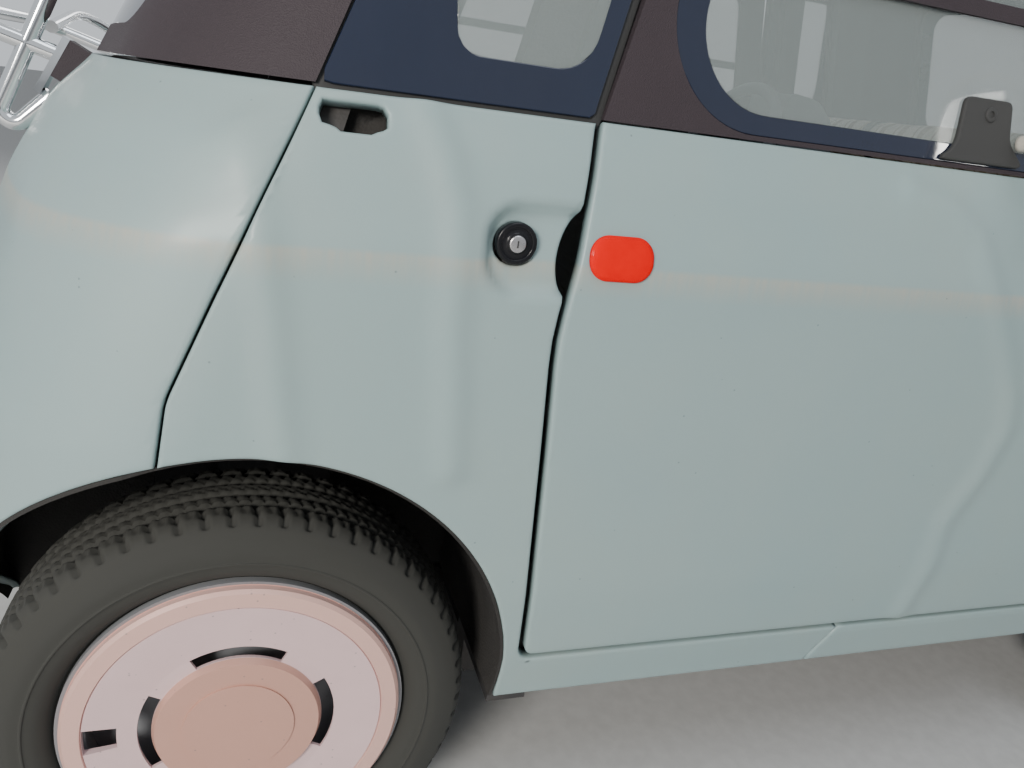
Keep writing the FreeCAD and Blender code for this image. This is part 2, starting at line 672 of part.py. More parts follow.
hinge_side = mirrored_x(PLAIN_SIDE).cut(hinge_cuts[0].multiFuse(hinge_cuts[1:]))
sub_part(hinge_side, "side_panel_front_right")
sub_part(turned(hinge_side), "side_panel_rear_left")
right_hinges = [body_hinge(height) for height in HINGE_HEIGHTS]
sub_part(Part.makeCompound(right_hinges + [turned(hinge) for hinge in right_hinges]), "door_hinges")

# Frame
RAIL_Y = size("rail_offset")
RAIL_HALF = size("rail_width") / 2
RAIL_TOP = size("floor_height")
RAIL_BOTTOM = RAIL_TOP - size("rail_depth")
RAIL_END = size("rail_length") / 2
FLOOR_TOP = RAIL_TOP + size("floor_thickness")
CROSS_NEAR = size("cross_place")
CROSS_FAR = CROSS_NEAR + size("cross_width")
CROSS_REACH = size("cross_reach")
OUTRIGGER_REACH = 630
pillar = [
    (SPLIT_BELT - 40, BELT, 0), (SPLIT_MIDDLE[0] - 40, SPLIT_MIDDLE[1], 0), (SPLIT_MIDDLE[0] - 60, 660, 0),
    (SPLIT_MIDDLE[0] + 40, 660, 0), (SPLIT_MIDDLE[0] + 60, SPLIT_MIDDLE[1], 0), (SPLIT_BELT + 40, BELT, 0),
    (QUARTER_TOP + 40, CANT, 0), (QUARTER_TOP - 40, CANT, 0)]
POST_X = DOOR_EDGE_WIDE - 6
post = [
    (POST_X - 60, SKIRT + 4, 0), (DOOR_EDGE_SILL + 6, SKIRT + 4, 0), (DOOR_EDGE_SILL + 6, 460, 0),
    (POST_X - 6, 560, 0), (POST_X - 6, BELT, 0),
    (DOOR_EDGE_TOP - 30, CANT, 0), (DOOR_EDGE_TOP - 90, CANT, 0), (POST_X - 60, BELT, 0)]
strips = [
    side_prism(pillar, -FAR, FAR), mirrored_x(side_prism(pillar, -FAR, FAR)),
    side_prism(post, -FAR, FAR), mirrored_x(side_prism(post, -FAR, FAR)),
    block(-620, 620, -FAR, FAR, SKIRT + 2, SILL - 10),
    block(-HALF_LENGTH, HALF_LENGTH, -FAR, FAR, DOOR_TOP + 8, CANT + 10),
]
for end in (-1, 1):
    inner, outer = sorted((end * -SPLIT_BELT, end * HALF_LENGTH))
    strips.append(block(inner, outer, -FAR, FAR, BELT - 60, BELT - 4))
    inner, outer = sorted((end * -POST_X, end * 930))
    strips.append(block(inner, outer, -FAR, FAR, 660, 695))
    inner, outer = sorted((end * 1100, end * HALF_LENGTH))
    strips.append(block(inner, outer, -FAR, FAR, 420, 520))
hoops = FRAME_SHELL.common(strips[0].multiFuse(strips[1:])).cut(ARCHES[0].multiFuse(ARCHES[1:]))
members = []
for x_sign in (-1, 1):
    low, high = sorted((x_sign * CROSS_NEAR, x_sign * CROSS_FAR))
    for y_sign in (-1, 1):
        near, far = sorted((y_sign * (CROSS_REACH - 40), y_sign * OUTRIGGER_REACH))
        members.append(block(low, high, near, far, RAIL_TOP, 300))
        near, far = sorted((y_sign * (RAIL_Y - RAIL_HALF), y_sign * (RAIL_Y + RAIL_HALF)))
        low_end, high_end = sorted((x_sign * (RAIL_END - 10), x_sign * 1192))
        members.append(block(low_end, high_end, near, far, 440, 500))
        low_end, high_end = sorted((x_sign * (RAIL_END - 40), x_sign * RAIL_END))
        members.append(block(low_end, high_end, near, far, RAIL_TOP, 500))
sub_part(hoops.multiFuse(members), "space_frame")

rail_items = []
for side, y_sign in (("right", -1), ("left", 1)):
    rail_items.append(bound_box(
        f"rail_{side}", "sizes.rail_length", "sizes.rail_width", "sizes.rail_depth - sizes.frame_clearance",
        "-sizes.rail_length / 2", f"{y_sign} * sizes.rail_offset - sizes.rail_width / 2",
        "sizes.floor_height - sizes.rail_depth"))
for end, place in (("rear", "-sizes.cross_place - sizes.cross_width"), ("front", "sizes.cross_place")):
    rail_items.append(bound_box(
        f"cross_member_{end}", "sizes.cross_width", "2 * sizes.cross_reach",
        "sizes.rail_depth - sizes.frame_clearance", place, "-sizes.cross_reach",
        "sizes.floor_height - sizes.rail_depth"))
    for side, y_place in (("right", "-sizes.cross_reach"), ("left", "sizes.cross_reach - sizes.pad_side")):
        rail_items.append(bound_box(
            f"jacking_pad_{end}_{side}", "sizes.pad_side", "sizes.pad_side", "sizes.pad_drop + sizes.rail_depth / 2",
            f"{place} + (sizes.cross_width - sizes.pad_side) / 2", y_place,
            "sizes.floor_height - sizes.rail_depth - sizes.pad_drop"))
keep(joined("rails", rail_items), "chassis_rails")

# Floor
FLOOR_WIDE = 615
FLOOR_NARROW = RAIL_Y - RAIL_HALF - 4
floor_plan = [
    (-1120, -FLOOR_NARROW, 30), (-540, -FLOOR_NARROW, 30), (-540, -FLOOR_WIDE, 20), (540, -FLOOR_WIDE, 20),
    (540, -FLOOR_NARROW, 30), (1120, -FLOOR_NARROW, 30), (1120, FLOOR_NARROW, 30), (540, FLOOR_NARROW, 30),
    (540, FLOOR_WIDE, 20), (-540, FLOOR_WIDE, 20), (-540, FLOOR_NARROW, 30), (-1120, FLOOR_NARROW, 30)]
pan = plan_prism(floor_plan, RAIL_TOP, FLOOR_TOP)
for post_y in (-1, 1):
    near, far = sorted((post_y * (CROSS_REACH - 41), post_y * (OUTRIGGER_REACH + 10)))
    for post_x in (-1, 1):
        low, high = sorted((post_x * (CROSS_NEAR - 1), post_x * (CROSS_FAR + 1)))
        pan = pan.cut(block(low, high, near, far, 0, 310))
TUNNEL_HALF = 40
tunnel_in = block(-AXLE_X - TUNNEL_HALF, -AXLE_X + TUNNEL_HALF, -FLOOR_NARROW, FLOOR_NARROW, 0, RAIL_TOP + 80)
tunnel_out = block(-AXLE_X - TUNNEL_HALF - 10, -AXLE_X + TUNNEL_HALF + 10, -FLOOR_NARROW, FLOOR_NARROW,
                   FLOOR_TOP, RAIL_TOP + 90)
pan = pan.fuse(tunnel_out).cut(tunnel_in)
sub_part(pan, "floor_pan")

# Wheel arch liners
ARCH_IN = FAR - size("arch_depth") - 60


def arch_liner():
    """Liner of the rear right arch: a vault and an inner wall with a way for the axle."""
    radius = size("arch_radius") - FIT
    wall = size("liner_thickness")
    depth = HALF_WIDTH - 8 - ARCH_IN
    centre = Vector(-AXLE_X, -ARCH_IN, size("arch_height"))
    vault = Part.makeCylinder(radius, depth, centre, Vector(0, -1, 0))
    vault = vault.cut(Part.makeCylinder(radius - wall, depth, centre - Vector(0, wall, 0), Vector(0, -1, 0)))
    vault = vault.cut(block(-AXLE_X - 400, -AXLE_X + 400, -FAR, 0, 0, SKIRT + 2))
    return vault.cut(block(-AXLE_X - 120, -AXLE_X + 120, -ARCH_IN - 30, 0, 0, 480))


liner = arch_liner()
liner = liner.common(body_form(1, 0))
sub_part(Part.makeCompound([liner, mirrored_x(liner), mirrored_y(liner), turned(liner)]), "wheel_arch_liners")

# Running gear
wheel_level = "sizes.tyre_diameter / 2"
rear_line = "-sizes.wheelbase / 2"
front_line = "sizes.wheelbase / 2"
axle_items = [
    bound_rod("axle_tube", "sizes.beam_radius", "2 * sizes.beam_reach", rear_line, "-sizes.beam_reach", wheel_level),
    bound_rod("axle_stubs", "sizes.axle_radius", "sizes.wheel_track + 2 * sizes.stub_end", rear_line,
              "-sizes.wheel_track / 2 - sizes.stub_end", wheel_level),
]
for side, y_sign, hub_start in (
        ("right", -1, "-sizes.hub_place - sizes.hub_thickness"), ("left", 1, "sizes.hub_place")):
    arm_side = f"{y_sign} * sizes.rail_offset - sizes.arm_width / 2"
    axle_items.append(bound_rod(f"hub_{side}", "sizes.hub_radius", "sizes.hub_thickness", rear_line, hub_start,
                                wheel_level))
    axle_items.append(bound_box(f"arm_{side}", "sizes.wheelbase / 2 + 10 - sizes.arm_end", "sizes.arm_width",
                                "sizes.arm_depth", "-sizes.wheelbase / 2 - 10", arm_side,
                                "sizes.floor_height + 6"))
    axle_items.append(bound_box(f"arm_foot_{side}", "sizes.foot_length", "sizes.arm_width", "sizes.foot_depth",
                                "-sizes.arm_end - sizes.foot_length", arm_side, "sizes.floor_height"))
keep(joined("rear_axle_pieces", axle_items), "rear_axle")

KINGPIN_Y = size("kingpin_offset")
KNUCKLE_HALF = size("kingpin_half")
ARM_RISE = 146
ARM_RADIUS = 9
ARM_SPREAD = 70
SUBFRAME_HALF = 90


def wishbone(y_sign, height):
    """Two tubes from a rail's side to one ball joint."""
    joint = Vector(AXLE_X, y_sign * KINGPIN_Y, height)
    return [rod(Vector(AXLE_X + reach, y_sign * (RAIL_Y + 30), height), joint, ARM_RADIUS)
            for reach in (-ARM_SPREAD, ARM_SPREAD)]


front_pieces = [block(AXLE_X - SUBFRAME_HALF, AXLE_X + SUBFRAME_HALF, -RAIL_Y - 40, RAIL_Y + 40,
                      RAIL_BOTTOM - 60, RAIL_BOTTOM)]
for y_sign in (-1, 1):
    near, far = sorted((y_sign * (RAIL_Y + 26), y_sign * (RAIL_Y + 40)))
    front_pieces.append(block(AXLE_X - SUBFRAME_HALF, AXLE_X + SUBFRAME_HALF, near, far, RAIL_BOTTOM - 60,
                              WHEEL_Z + ARM_RISE + 20))
    for z_sign in (-1, 1):
        height = WHEEL_Z + z_sign * ARM_RISE
        front_pieces.extend(wishbone(y_sign, height))
        front_pieces.append(Part.makeCylinder(
            14, ARM_RISE - KNUCKLE_HALF - FIT + 12,
            Vector(AXLE_X, y_sign * KINGPIN_Y, WHEEL_Z + z_sign * (KNUCKLE_HALF + FIT)), Vector(0, 0, z_sign)))
sub_part(fused(front_pieces), "front_subframe")

stub_length = "sizes.wheel_track / 2 + sizes.stub_end - sizes.kingpin_offset"
for side, kingpin_y, stub_y, brake_y in (
        ("right", "-sizes.kingpin_offset", "-sizes.wheel_track / 2 - sizes.stub_end",
         "-sizes.brake_place - sizes.brake_width"),
        ("left", "sizes.kingpin_offset", "sizes.kingpin_offset", "sizes.brake_place")):
    knuckle_items = [
        bound_rod(f"kingpin_{side}", "sizes.kingpin_radius", "2 * sizes.kingpin_half", front_line, kingpin_y,
                  "sizes.tyre_diameter / 2 - sizes.kingpin_half", Vector(0, 0, 1)),
        bound_rod(f"stub_{side}", "sizes.axle_radius", stub_length, front_line, stub_y, wheel_level),
        bound_rod(f"brake_{side}", "sizes.brake_radius", "sizes.brake_width", front_line, brake_y, wheel_level),
    ]
    keep(joined(f"knuckle_pieces_{side}", knuckle_items), f"knuckle_{side}")

rack_line = "sizes.wheelbase / 2 - sizes.rack_rod_behind"
floor_top = "sizes.floor_height + sizes.floor_thickness"
rack_items = [bound_rod("rack_housing", "sizes.rack_rod_radius", "2 * sizes.rack_rod_reach", rack_line,
                        "-sizes.rack_rod_reach", "sizes.floor_height + sizes.rack_rod_rise")]
motor_items = [bound_rod("motor_case", "sizes.motor_radius", "sizes.motor_length", front_line,
                         "-sizes.motor_length / 2", f"{floor_top} + sizes.motor_radius + sizes.motor_rise")]
for side, y_sign in (("right", -1), ("left", 1)):
    rack_items.append(bound_box(
        f"rack_foot_{side}", "sizes.bracket_width", "sizes.bracket_width",
        "sizes.rack_rod_rise - sizes.floor_thickness", f"{rack_line} - sizes.bracket_width / 2",
        f"{y_sign} * sizes.bracket_place - sizes.bracket_width / 2", floor_top))
    motor_items.append(bound_box(
        f"motor_foot_{side}", "sizes.mount_length", "sizes.mount_width", "sizes.mount_height",
        f"{front_line} - sizes.mount_length / 2",
        f"{y_sign} * sizes.mount_place - sizes.mount_width / 2", floor_top))
keep(joined("rack_pieces", rack_items), "steering_rack")
keep(joined("motor_pieces", motor_items), "drive_motor")
keep(bound_box("battery_case", "sizes.battery_length", "2 * sizes.rail_offset - sizes.rail_width - 10",
               "sizes.rail_depth + sizes.battery_drop", "-sizes.battery_place",
               "-sizes.rail_offset + sizes.rail_width / 2 + 5",
               "sizes.floor_height - sizes.rail_depth - sizes.battery_drop"), "battery_pack")

# Cabin
CABIN = body_form(FRAME_IN + FIT, FRAME_IN)
DASH_TOP = BELT - size("dash_drop")
STEER_Y = 305
STEER_X = 215
STEER_Z = 950
POD_HALF = 80
dash = CABIN.common(side_prism([
    (520, 830, 30), (500, 900, 30), (540, DASH_TOP, 40), (1060, DASH_TOP, 10), (1060, 800, 60), (700, 780, 60)],
    -FAR, FAR))
pod_outline = [
    (600, 880, 0), (600, 940, 50), (462, 990, 50), (450, 1060, 40), (400, 1104, 50), (320, 1112, 15),
    (312, 985, 20), (420, 960, 60), (520, 880, 0)]
pod_wire = rounded_wire(pod_outline, lambda p: Vector(p.x, STEER_Y - POD_HALF, p.y))
pod = Part.Face(pod_wire).extrude(Vector(0, 2 * POD_HALF, 0))
dash = dash.fuse(pod)
sub_part(dash, "dashboard")
keep(bound_rod("cloth_roll", "sizes.roll_radius", "sizes.roll_length", "sizes.roll_place", "-sizes.roll_length / 2",
               "sizes.belt_height - sizes.dash_drop + sizes.roll_radius + sizes.frame_clearance"), "dash_roll")
steer_centre = Vector(STEER_X, STEER_Y, STEER_Z)
tilt = math.radians(size("column_tilt"))
column_axis = Vector(math.cos(tilt), 0, -math.sin(tilt))
COLUMN_PIN_RADIUS = 12
COLUMN_RADIUS = 28


def along_column(distance):
    """Point on the steering column, forward of the steering wheel's centre."""
    return steer_centre + column_axis * distance


wheel_face = column_axis * -1
across = Vector(0, 1, 0)
upward = wheel_face.cross(across)
downward = upward * (1 if upward.z < 0 else -1)
steering_items = [bound("Part::Torus", "steering_rim", Radius1="sizes.steering_wheel_radius",
                        Radius2="sizes.steering_rim_radius", x=f"{STEER_X}", y=f"{STEER_Y}", z=f"{STEER_Z}")]
steering_items[0].Placement.Rotation = Rotation(Vector(0, 0, 1), wheel_face)
hub_point = along_column(-10)
steering_items.append(bound_rod("steering_hub", "42", "44", f"{hub_point.x}", f"{hub_point.y}", f"{hub_point.z}",
                                column_axis))
for spoke_name, direction in (("left", across), ("right", across * -1), ("low", downward)):
    root = along_column(4)
    steering_items.append(bound_rod(f"spoke_{spoke_name}", "11", "sizes.steering_wheel_radius", f"{root.x}",
                                    f"{root.y}", f"{root.z}", direction))
bore_point = along_column(6)
column_bore = bound_rod("steering_bore", f"{COLUMN_PIN_RADIUS} + sizes.hinge_play", "60", f"{bore_point.x}",
                        f"{bore_point.y}", f"{bore_point.z}", column_axis)
keep(without("steering_wheel_bored", joined("steering_wheel_pieces", steering_items), column_bore),
     "steering_wheel")
column = fused([rod(along_column(6.3), along_column(60), COLUMN_PIN_RADIUS),
                rod(along_column(40), along_column(400), COLUMN_RADIUS)])
sub_part(column.cut(dash), "steering_column")


def seat(y):
    """One seat: box base, cushion and reclined back."""
    side = [
        (-330, FLOOR_TOP, 10), (120, FLOOR_TOP, 10), (150, 560, 40), (-250, 520, 30), (-360, 1020, 40),
        (-440, 1040, 40), (-400, 500, 60)]
    wire = rounded_wire(side, lambda p: Vector(p.x, y - 225, p.y))
    return Part.Face(wire).extrude(Vector(0, 450, 0))


sub_part(Part.makeCompound([seat(-300), seat(300)]), "seats")

# Lamps, plates and rack
lamps = []
for y in (-LAMP_Y, LAMP_Y):
    bore = Part.makeCylinder(LAMP_RADIUS + 2 - FIT, 400, Vector(-HALF_LENGTH - 60, y, LAMP_Z), Vector(1, 0, 0))
    lamps.append(OUTER.cut(body_form(40, 0)).common(bore))
sub_part(Part.makeCompound(lamps), "tail_lamps")
sub_part(turned(Part.makeCompound(lamps)), "head_lamps")
PLATE_SHELL = body_form(-2, 0).cut(body_form(-FIT, 0))
plate = PLATE_SHELL.common(end_prism(rectangle(-150, 150, 500, 600, 8), -HALF_LENGTH - 50, -500))
sub_part(Part.makeCompound([plate, turned(plate)]), "number_plates")

# Luggage rack: chrome tubes over the rear end, drawn on the right and mirrored
TUBE = size("rack_tube_radius")
RACK_Y = 300
HOOP_TOP_Z = 1150
HOOK_BEND = 13.5
hook_side = [
    (Vector(-1092, -RACK_Y, 945), 0), (Vector(-1133, -RACK_Y, 905), HOOK_BEND),
    (Vector(-1152, -RACK_Y, 919), HOOK_BEND), (Vector(-1046, -RACK_Y, HOOP_TOP_Z), 70)]
hoop_points = hook_side + [(Vector(point.x, -point.y, point.z), bend) for point, bend in reversed(hook_side)]
shelf_points = [
    (Vector(-1083, -RACK_Y, 992), 0), (Vector(-1238, -RACK_Y, 1037), 60), (Vector(-1238, RACK_Y, 1037), 60),
    (Vector(-1083, RACK_Y, 992), 0)]
brace_points = [
    (Vector(-1088, -RACK_Y, 1022), 0), (Vector(-1112, 0, 1052), 800), (Vector(-1088, RACK_Y, 1022), 0)]


def bent_tube(points, radius):
    """Tube along straight runs joined by bends; each point has the radius of its bend."""
    edges = []
    start = points[0][0]
    for index in range(1, len(points) - 1):
        corner, bend = points[index]
        back = (points[index - 1][0] - corner).normalize()
        onward = (points[index + 1][0] - corner).normalize()
        half = back.getAngle(onward) / 2
        reach = bend / math.tan(half)
        middle = (back + onward).normalize()
        nearest = corner + middle * (bend / math.sin(half) - bend)
        first, last = corner + back * reach, corner + onward * reach
        if (first - start).Length > 1e-6:
            edges.append(Part.LineSegment(start, first).toShape())
        edges.append(Part.Arc(first, nearest, last).toShape())
        start = last
    edges.append(Part.LineSegment(start, points[-1][0]).toShape())
    path = Part.Wire(edges)
    opening = points[1][0] - points[0][0]
    circle = Part.Wire([Part.Circle(points[0][0], opening, radius).toShape()])
    return path.makePipeShell([circle], True, True)


BAR_TOP = (-1067, 1010)
BAR_LOW = (-1103, 945)
BAR_WIDE = 25
BAR_THICK = 8
PAD_SHORT = 26
bar_slope = Vector(BAR_LOW[0] - BAR_TOP[0], 0, BAR_LOW[1] - BAR_TOP[1]).normalize()
bar_out = Vector(bar_slope.z, 0, -bar_slope.x)
bar_out = bar_out if bar_out.x < 0 else bar_out * -1
rack_pieces = [bent_tube(hoop_points, TUBE), bent_tube(shelf_points, TUBE), bent_tube(brace_points, TUBE - 3)]
pads = []
for y_sign in (-1, 1):
    near = y_sign * RACK_Y - BAR_WIDE / 2
    top = Vector(BAR_TOP[0], near, BAR_TOP[1])
    low = Vector(BAR_LOW[0], near, BAR_LOW[1])
    bar_corners = [top, low, low + bar_out * BAR_THICK, top + bar_out * BAR_THICK, top]
    rack_pieces.append(Part.Face(Part.makePolygon(bar_corners)).extrude(Vector(0, BAR_WIDE, 0)))
    back = bar_out * -40
    foot = low - bar_slope * PAD_SHORT
    pad_corners = [top - bar_out * FIT, foot - bar_out * FIT, foot + back, top + back, top - bar_out * FIT]
    pads.append(Part.Face(Part.makePolygon(pad_corners)).extrude(Vector(0, BAR_WIDE, 0)))
rack = fused(rack_pieces).cut(body_form(-FIT, 0))
sub_part(rack, "luggage_rack")
sub_part(Part.makeCompound([pad.cut(body_form(-FIT, 0)) for pad in pads]), "rack_pads")

# Wheels
WheelSpot = namedtuple("WheelSpot", "name x y turn")
WHEEL_SPOTS = (
    WheelSpot("front_right", "sizes.wheelbase / 2", "-sizes.wheel_track / 2", 0),
    WheelSpot("front_left", "sizes.wheelbase / 2", "sizes.wheel_track / 2", 180),
    WheelSpot("rear_right", "-sizes.wheelbase / 2", "-sizes.wheel_track / 2", 0),
    WheelSpot("rear_left", "-sizes.wheelbase / 2", "sizes.wheel_track / 2", 180),
)
outside = "sizes.tyre_diameter / 2"
half = "sizes.tyre_width / 2"
bead = "sizes.rim_radius + 0.2"
flange = "sizes.flange_radius"
face = "-sizes.cover_offset"
TYRE_PROFILE = [
    (bead, f"-{half} + 23"), (f"{flange} + 2", f"-{half} + 23"), (f"{bead} + 48", f"-{half}"),
    (f"{outside} - 10", f"-{half} + 14"), (outside, f"-{half} + 32"), (outside, f"{half} - 32"),
    (f"{outside} - 10", f"{half} - 14"), (f"{bead} + 48", half), (f"{flange} + 2", f"{half} - 23"),
    (bead, f"{half} - 23"), (f"{outside} - 22", f"{half} - 28"), (f"{outside} - 22", f"-{half} + 28"),
]
RIM_PROFILE = [
    ("sizes.axle_radius + sizes.hinge_play", "-44"), ("60", "-44"), ("60", "-32"), ("sizes.rim_radius - 12", "-32"),
    ("sizes.rim_radius - 12", f"-{half} + 20"), (flange, f"-{half} + 12"), (flange, f"-{half} + 21.7"),
    ("sizes.rim_radius", f"-{half} + 21.7"), ("sizes.rim_radius", f"{half} - 21.7"), (flange, f"{half} - 21.7"),
    (flange, f"{half} - 14"), ("sizes.rim_radius - 12", f"{half} - 20"), ("sizes.rim_radius - 14", "-22"),
    ("60", "-22"), ("60", "-6"), ("sizes.axle_radius + sizes.hinge_play", "-6"),
]
COVER_PROFILE = [
    ("0", f"{face} - 4"), ("sizes.cover_cap_radius", f"{face} - 4"), ("sizes.cover_cap_radius", f"{face} - 2"),
    ("sizes.cover_boss_radius - 4", f"{face} - 2"), ("sizes.cover_boss_radius", f"{face} + 6"),
    ("sizes.cover_boss_radius + sizes.slot_width", f"{face} + 6"), ("sizes.cover_groove_radius", f"{face} + 1"),
    ("sizes.cover_groove_radius + 1", f"{face} + 3"), ("sizes.cover_groove_radius + 2", face),
    ("sizes.cover_radius - 4", face), ("sizes.cover_radius", f"{face} + 4"), ("sizes.cover_radius", f"{face} + 13"),
    ("sizes.cover_radius - 12", f"{face} + 13"), ("sizes.cover_radius - 12", f"{face} + 10"), ("0", f"{face} + 10"),
]
SLOT_PROFILE = [
    ("sizes.cover_boss_radius", f"{face} - 10"), ("sizes.cover_boss_radius + sizes.slot_width", f"{face} - 10"),
    ("sizes.cover_boss_radius + sizes.slot_width", f"{face} + 11"), ("sizes.cover_boss_radius", f"{face} + 11"),
]
NOTCH_PROFILE = [
    ("-sizes.cover_groove_radius", f"{face} - 10"), ("-sizes.cover_groove_radius", f"{face} + 11"),
    ("-sizes.cover_groove_radius + sizes.notch_reach", f"{face} + 11"),
    ("-sizes.cover_groove_radius + sizes.notch_reach", f"{face} - 10"),
]
for spot in WHEEL_SPOTS:
    tyre = doc.addObject("PartDesign::Body", f"tyre_body_{spot.name}")
    turned_profile(tyre, "Revolution", f"tyre_{spot.name}_ring", TYRE_PROFILE).Angle = 360
    keep(tyre, f"tyre_{spot.name}")
    wheel = doc.addObject("PartDesign::Body", f"wheel_body_{spot.name}")
    turned_profile(wheel, "Revolution", f"rim_{spot.name}", RIM_PROFILE).Angle = 360
    turned_profile(wheel, "Revolution", f"cover_{spot.name}", COVER_PROFILE).Angle = 360
    notch = turned_profile(wheel, "Groove", f"notch_{spot.name}", NOTCH_PROFILE)
    notch.Midplane = True
    notch.setExpression("Angle", "sizes.notch_span")
    slot = turned_profile(wheel, "Groove", f"slot_{spot.name}", SLOT_PROFILE)
    slot.Midplane = True
    slot.setExpression("Angle", "sizes.slot_span")
    slots = wheel.newObject("PartDesign::PolarPattern", f"slots_{spot.name}")
    slots.Originals = [slot]
    slots.Axis = (slot.Profile[0], ["V_Axis"])
    slots.Angle = 360
    slots.Occurrences = 4
    wheel.Tip = slots
    keep(wheel, f"wheel_{spot.name}")
    for body in (tyre, wheel):
        body.setExpression("Placement.Base.x", spot.x)
        body.setExpression("Placement.Base.y", spot.y)
        body.setExpression("Placement.Base.z", wheel_level)
        body.Placement.Rotation = Rotation(Vector(0, 0, 1), spot.turn)

# Write every sub-part
doc.recompute()
os.makedirs("parts", exist_ok=True)
for item in doc.Objects:
    if "Invalid" in item.State or "Error" in item.State:
        raise RuntimeError(f"{item.Name} did not build")
for item in SUB_PARTS:
    if item.Shape.isNull() or not item.Shape.isValid() or not item.Shape.Solids:
        raise RuntimeError(f"{item.Label} has no valid shape")
for item in SUB_PARTS:
    item.Shape.exportStep(f"parts/{item.Label}.step")
    box = item.Shape.BoundBox
    print(item.Label, len(item.Shape.Solids), round(item.Shape.Volume / 1e6, 2),
          [round(v) for v in (box.XMin, box.XMax, box.YMin, box.YMax, box.ZMin, box.ZMax)])
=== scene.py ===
"""Looks of a two-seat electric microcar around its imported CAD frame.

The painted panels, window trim, panes, wheels and small fittings are surfaces worked out with numpy
on the car's body form. The chassis, cabin and other rigid pieces keep their CAD solids and get finishes.
Lengths are in metres: +X forward, +Y to the driver's left, +Z up, origin on the ground under the middle.
"""

import logging
import math
from dataclasses import dataclass
from enum import Enum
from typing import Callable, Optional, Sequence

import bpy
import bmesh
import numpy as np
from mathutils import Matrix, Vector

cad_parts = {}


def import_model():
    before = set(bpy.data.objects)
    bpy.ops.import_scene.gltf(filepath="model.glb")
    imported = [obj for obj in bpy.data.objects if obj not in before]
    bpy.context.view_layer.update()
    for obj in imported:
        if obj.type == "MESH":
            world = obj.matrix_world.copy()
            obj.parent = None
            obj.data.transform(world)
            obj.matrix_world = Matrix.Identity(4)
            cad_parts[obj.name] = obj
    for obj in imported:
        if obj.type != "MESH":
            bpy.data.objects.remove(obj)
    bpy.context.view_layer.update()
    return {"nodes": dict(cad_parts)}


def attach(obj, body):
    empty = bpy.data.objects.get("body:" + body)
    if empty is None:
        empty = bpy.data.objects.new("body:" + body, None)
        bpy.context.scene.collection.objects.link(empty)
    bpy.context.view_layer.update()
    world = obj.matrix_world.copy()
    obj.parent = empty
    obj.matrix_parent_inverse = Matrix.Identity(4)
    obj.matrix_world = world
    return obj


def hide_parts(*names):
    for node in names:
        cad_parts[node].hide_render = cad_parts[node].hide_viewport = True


LOG = logging.getLogger("microcar")
Array = np.ndarray
Triple = tuple[float, float, float]
Colour = Corner = Triple
Feature = Callable[[Array, Array], Array]
Shape = tuple[Array, Sequence[Array]]
Surface = Callable[[Array], Array]

ARC_STEP = 0.14             # radians between two points of a rounded corner
SEGMENTS_AT_ONCE = 48       # outline segments compared with the points at a time
SHARP_TURN, KEPT_BEND = 0.5, 0.21   # radians: outline corners and rim bends that stay
SPREAD_ROUNDS, SETTLE_ROUNDS, SETTLE_RINGS = 6, 12, 3
ROUND_SHARE = 0.6           # share of a move that one round makes
SLOPE_STEP = 5e-4           # metres between the places that a slope is taken from
MERGE_DISTANCE = 2e-5
AXLE_X, AXLE_Z, TRACK_Y = 0.865, 0.2785, 0.590


# ---------------------------------------------------------------- outlines and grids


def polygon_area(loop: Array) -> float:
    """Signed area of a closed outline, positive when anticlockwise."""
    following = np.roll(loop, -1, axis=0)
    return float(np.sum(loop[:, 0] * following[:, 1] - following[:, 0] * loop[:, 1]) / 2)


def rounded_outline(corners: Sequence[Corner], step: float = 0.008) -> Array:
    """Closed anticlockwise outline through corners (a, b, radius), its points no more than step apart.

    Each corner is cut by the circle of its radius that touches both neighbouring sides.
    """
    parts = []
    flat = np.array([c[:2] for c in corners])
    for index, (a, b, radius) in enumerate(corners):
        here = np.array([a, b])
        if radius <= 0:
            parts.append(here[None, :])
            continue
        before, after = flat[index - 1] - here, flat[(index + 1) % len(corners)] - here
        before = before / np.linalg.norm(before)
        after = after / np.linalg.norm(after)
        half = math.acos(np.clip(before @ after, -1, 1)) / 2
        reach = radius / math.tan(half)
        middle = (before + after) / np.linalg.norm(before + after)
        centre = here + middle * radius / math.sin(half)
        start, end = here + before * reach - centre, here + after * reach - centre
        first = math.atan2(start[1], start[0])
        turn = (math.atan2(end[1], end[0]) - first + math.pi) % (2 * math.pi) - math.pi
        angles = first + np.linspace(0, turn, max(int(abs(turn) / ARC_STEP), 2) + 1)
        parts.append(centre + radius * np.stack([np.cos(angles), np.sin(angles)], 1))
    outline = densified(np.concatenate(parts), step)
    return outline if polygon_area(outline) > 0 else outline[::-1]


def densified(outline: Array, step: float) -> Array:
    """The same closed outline with extra points, so that none are further apart than step."""
    following = np.roll(outline, -1, axis=0)
    lengths = np.linalg.norm(following - outline, axis=1)
    pieces = []
    for start, end, length in zip(outline, following, lengths):
        count = max(int(math.ceil(length / step)), 1)
        pieces.append(start + (end - start) * (np.arange(count) / count)[:, None])
    return np.concatenate(pieces)


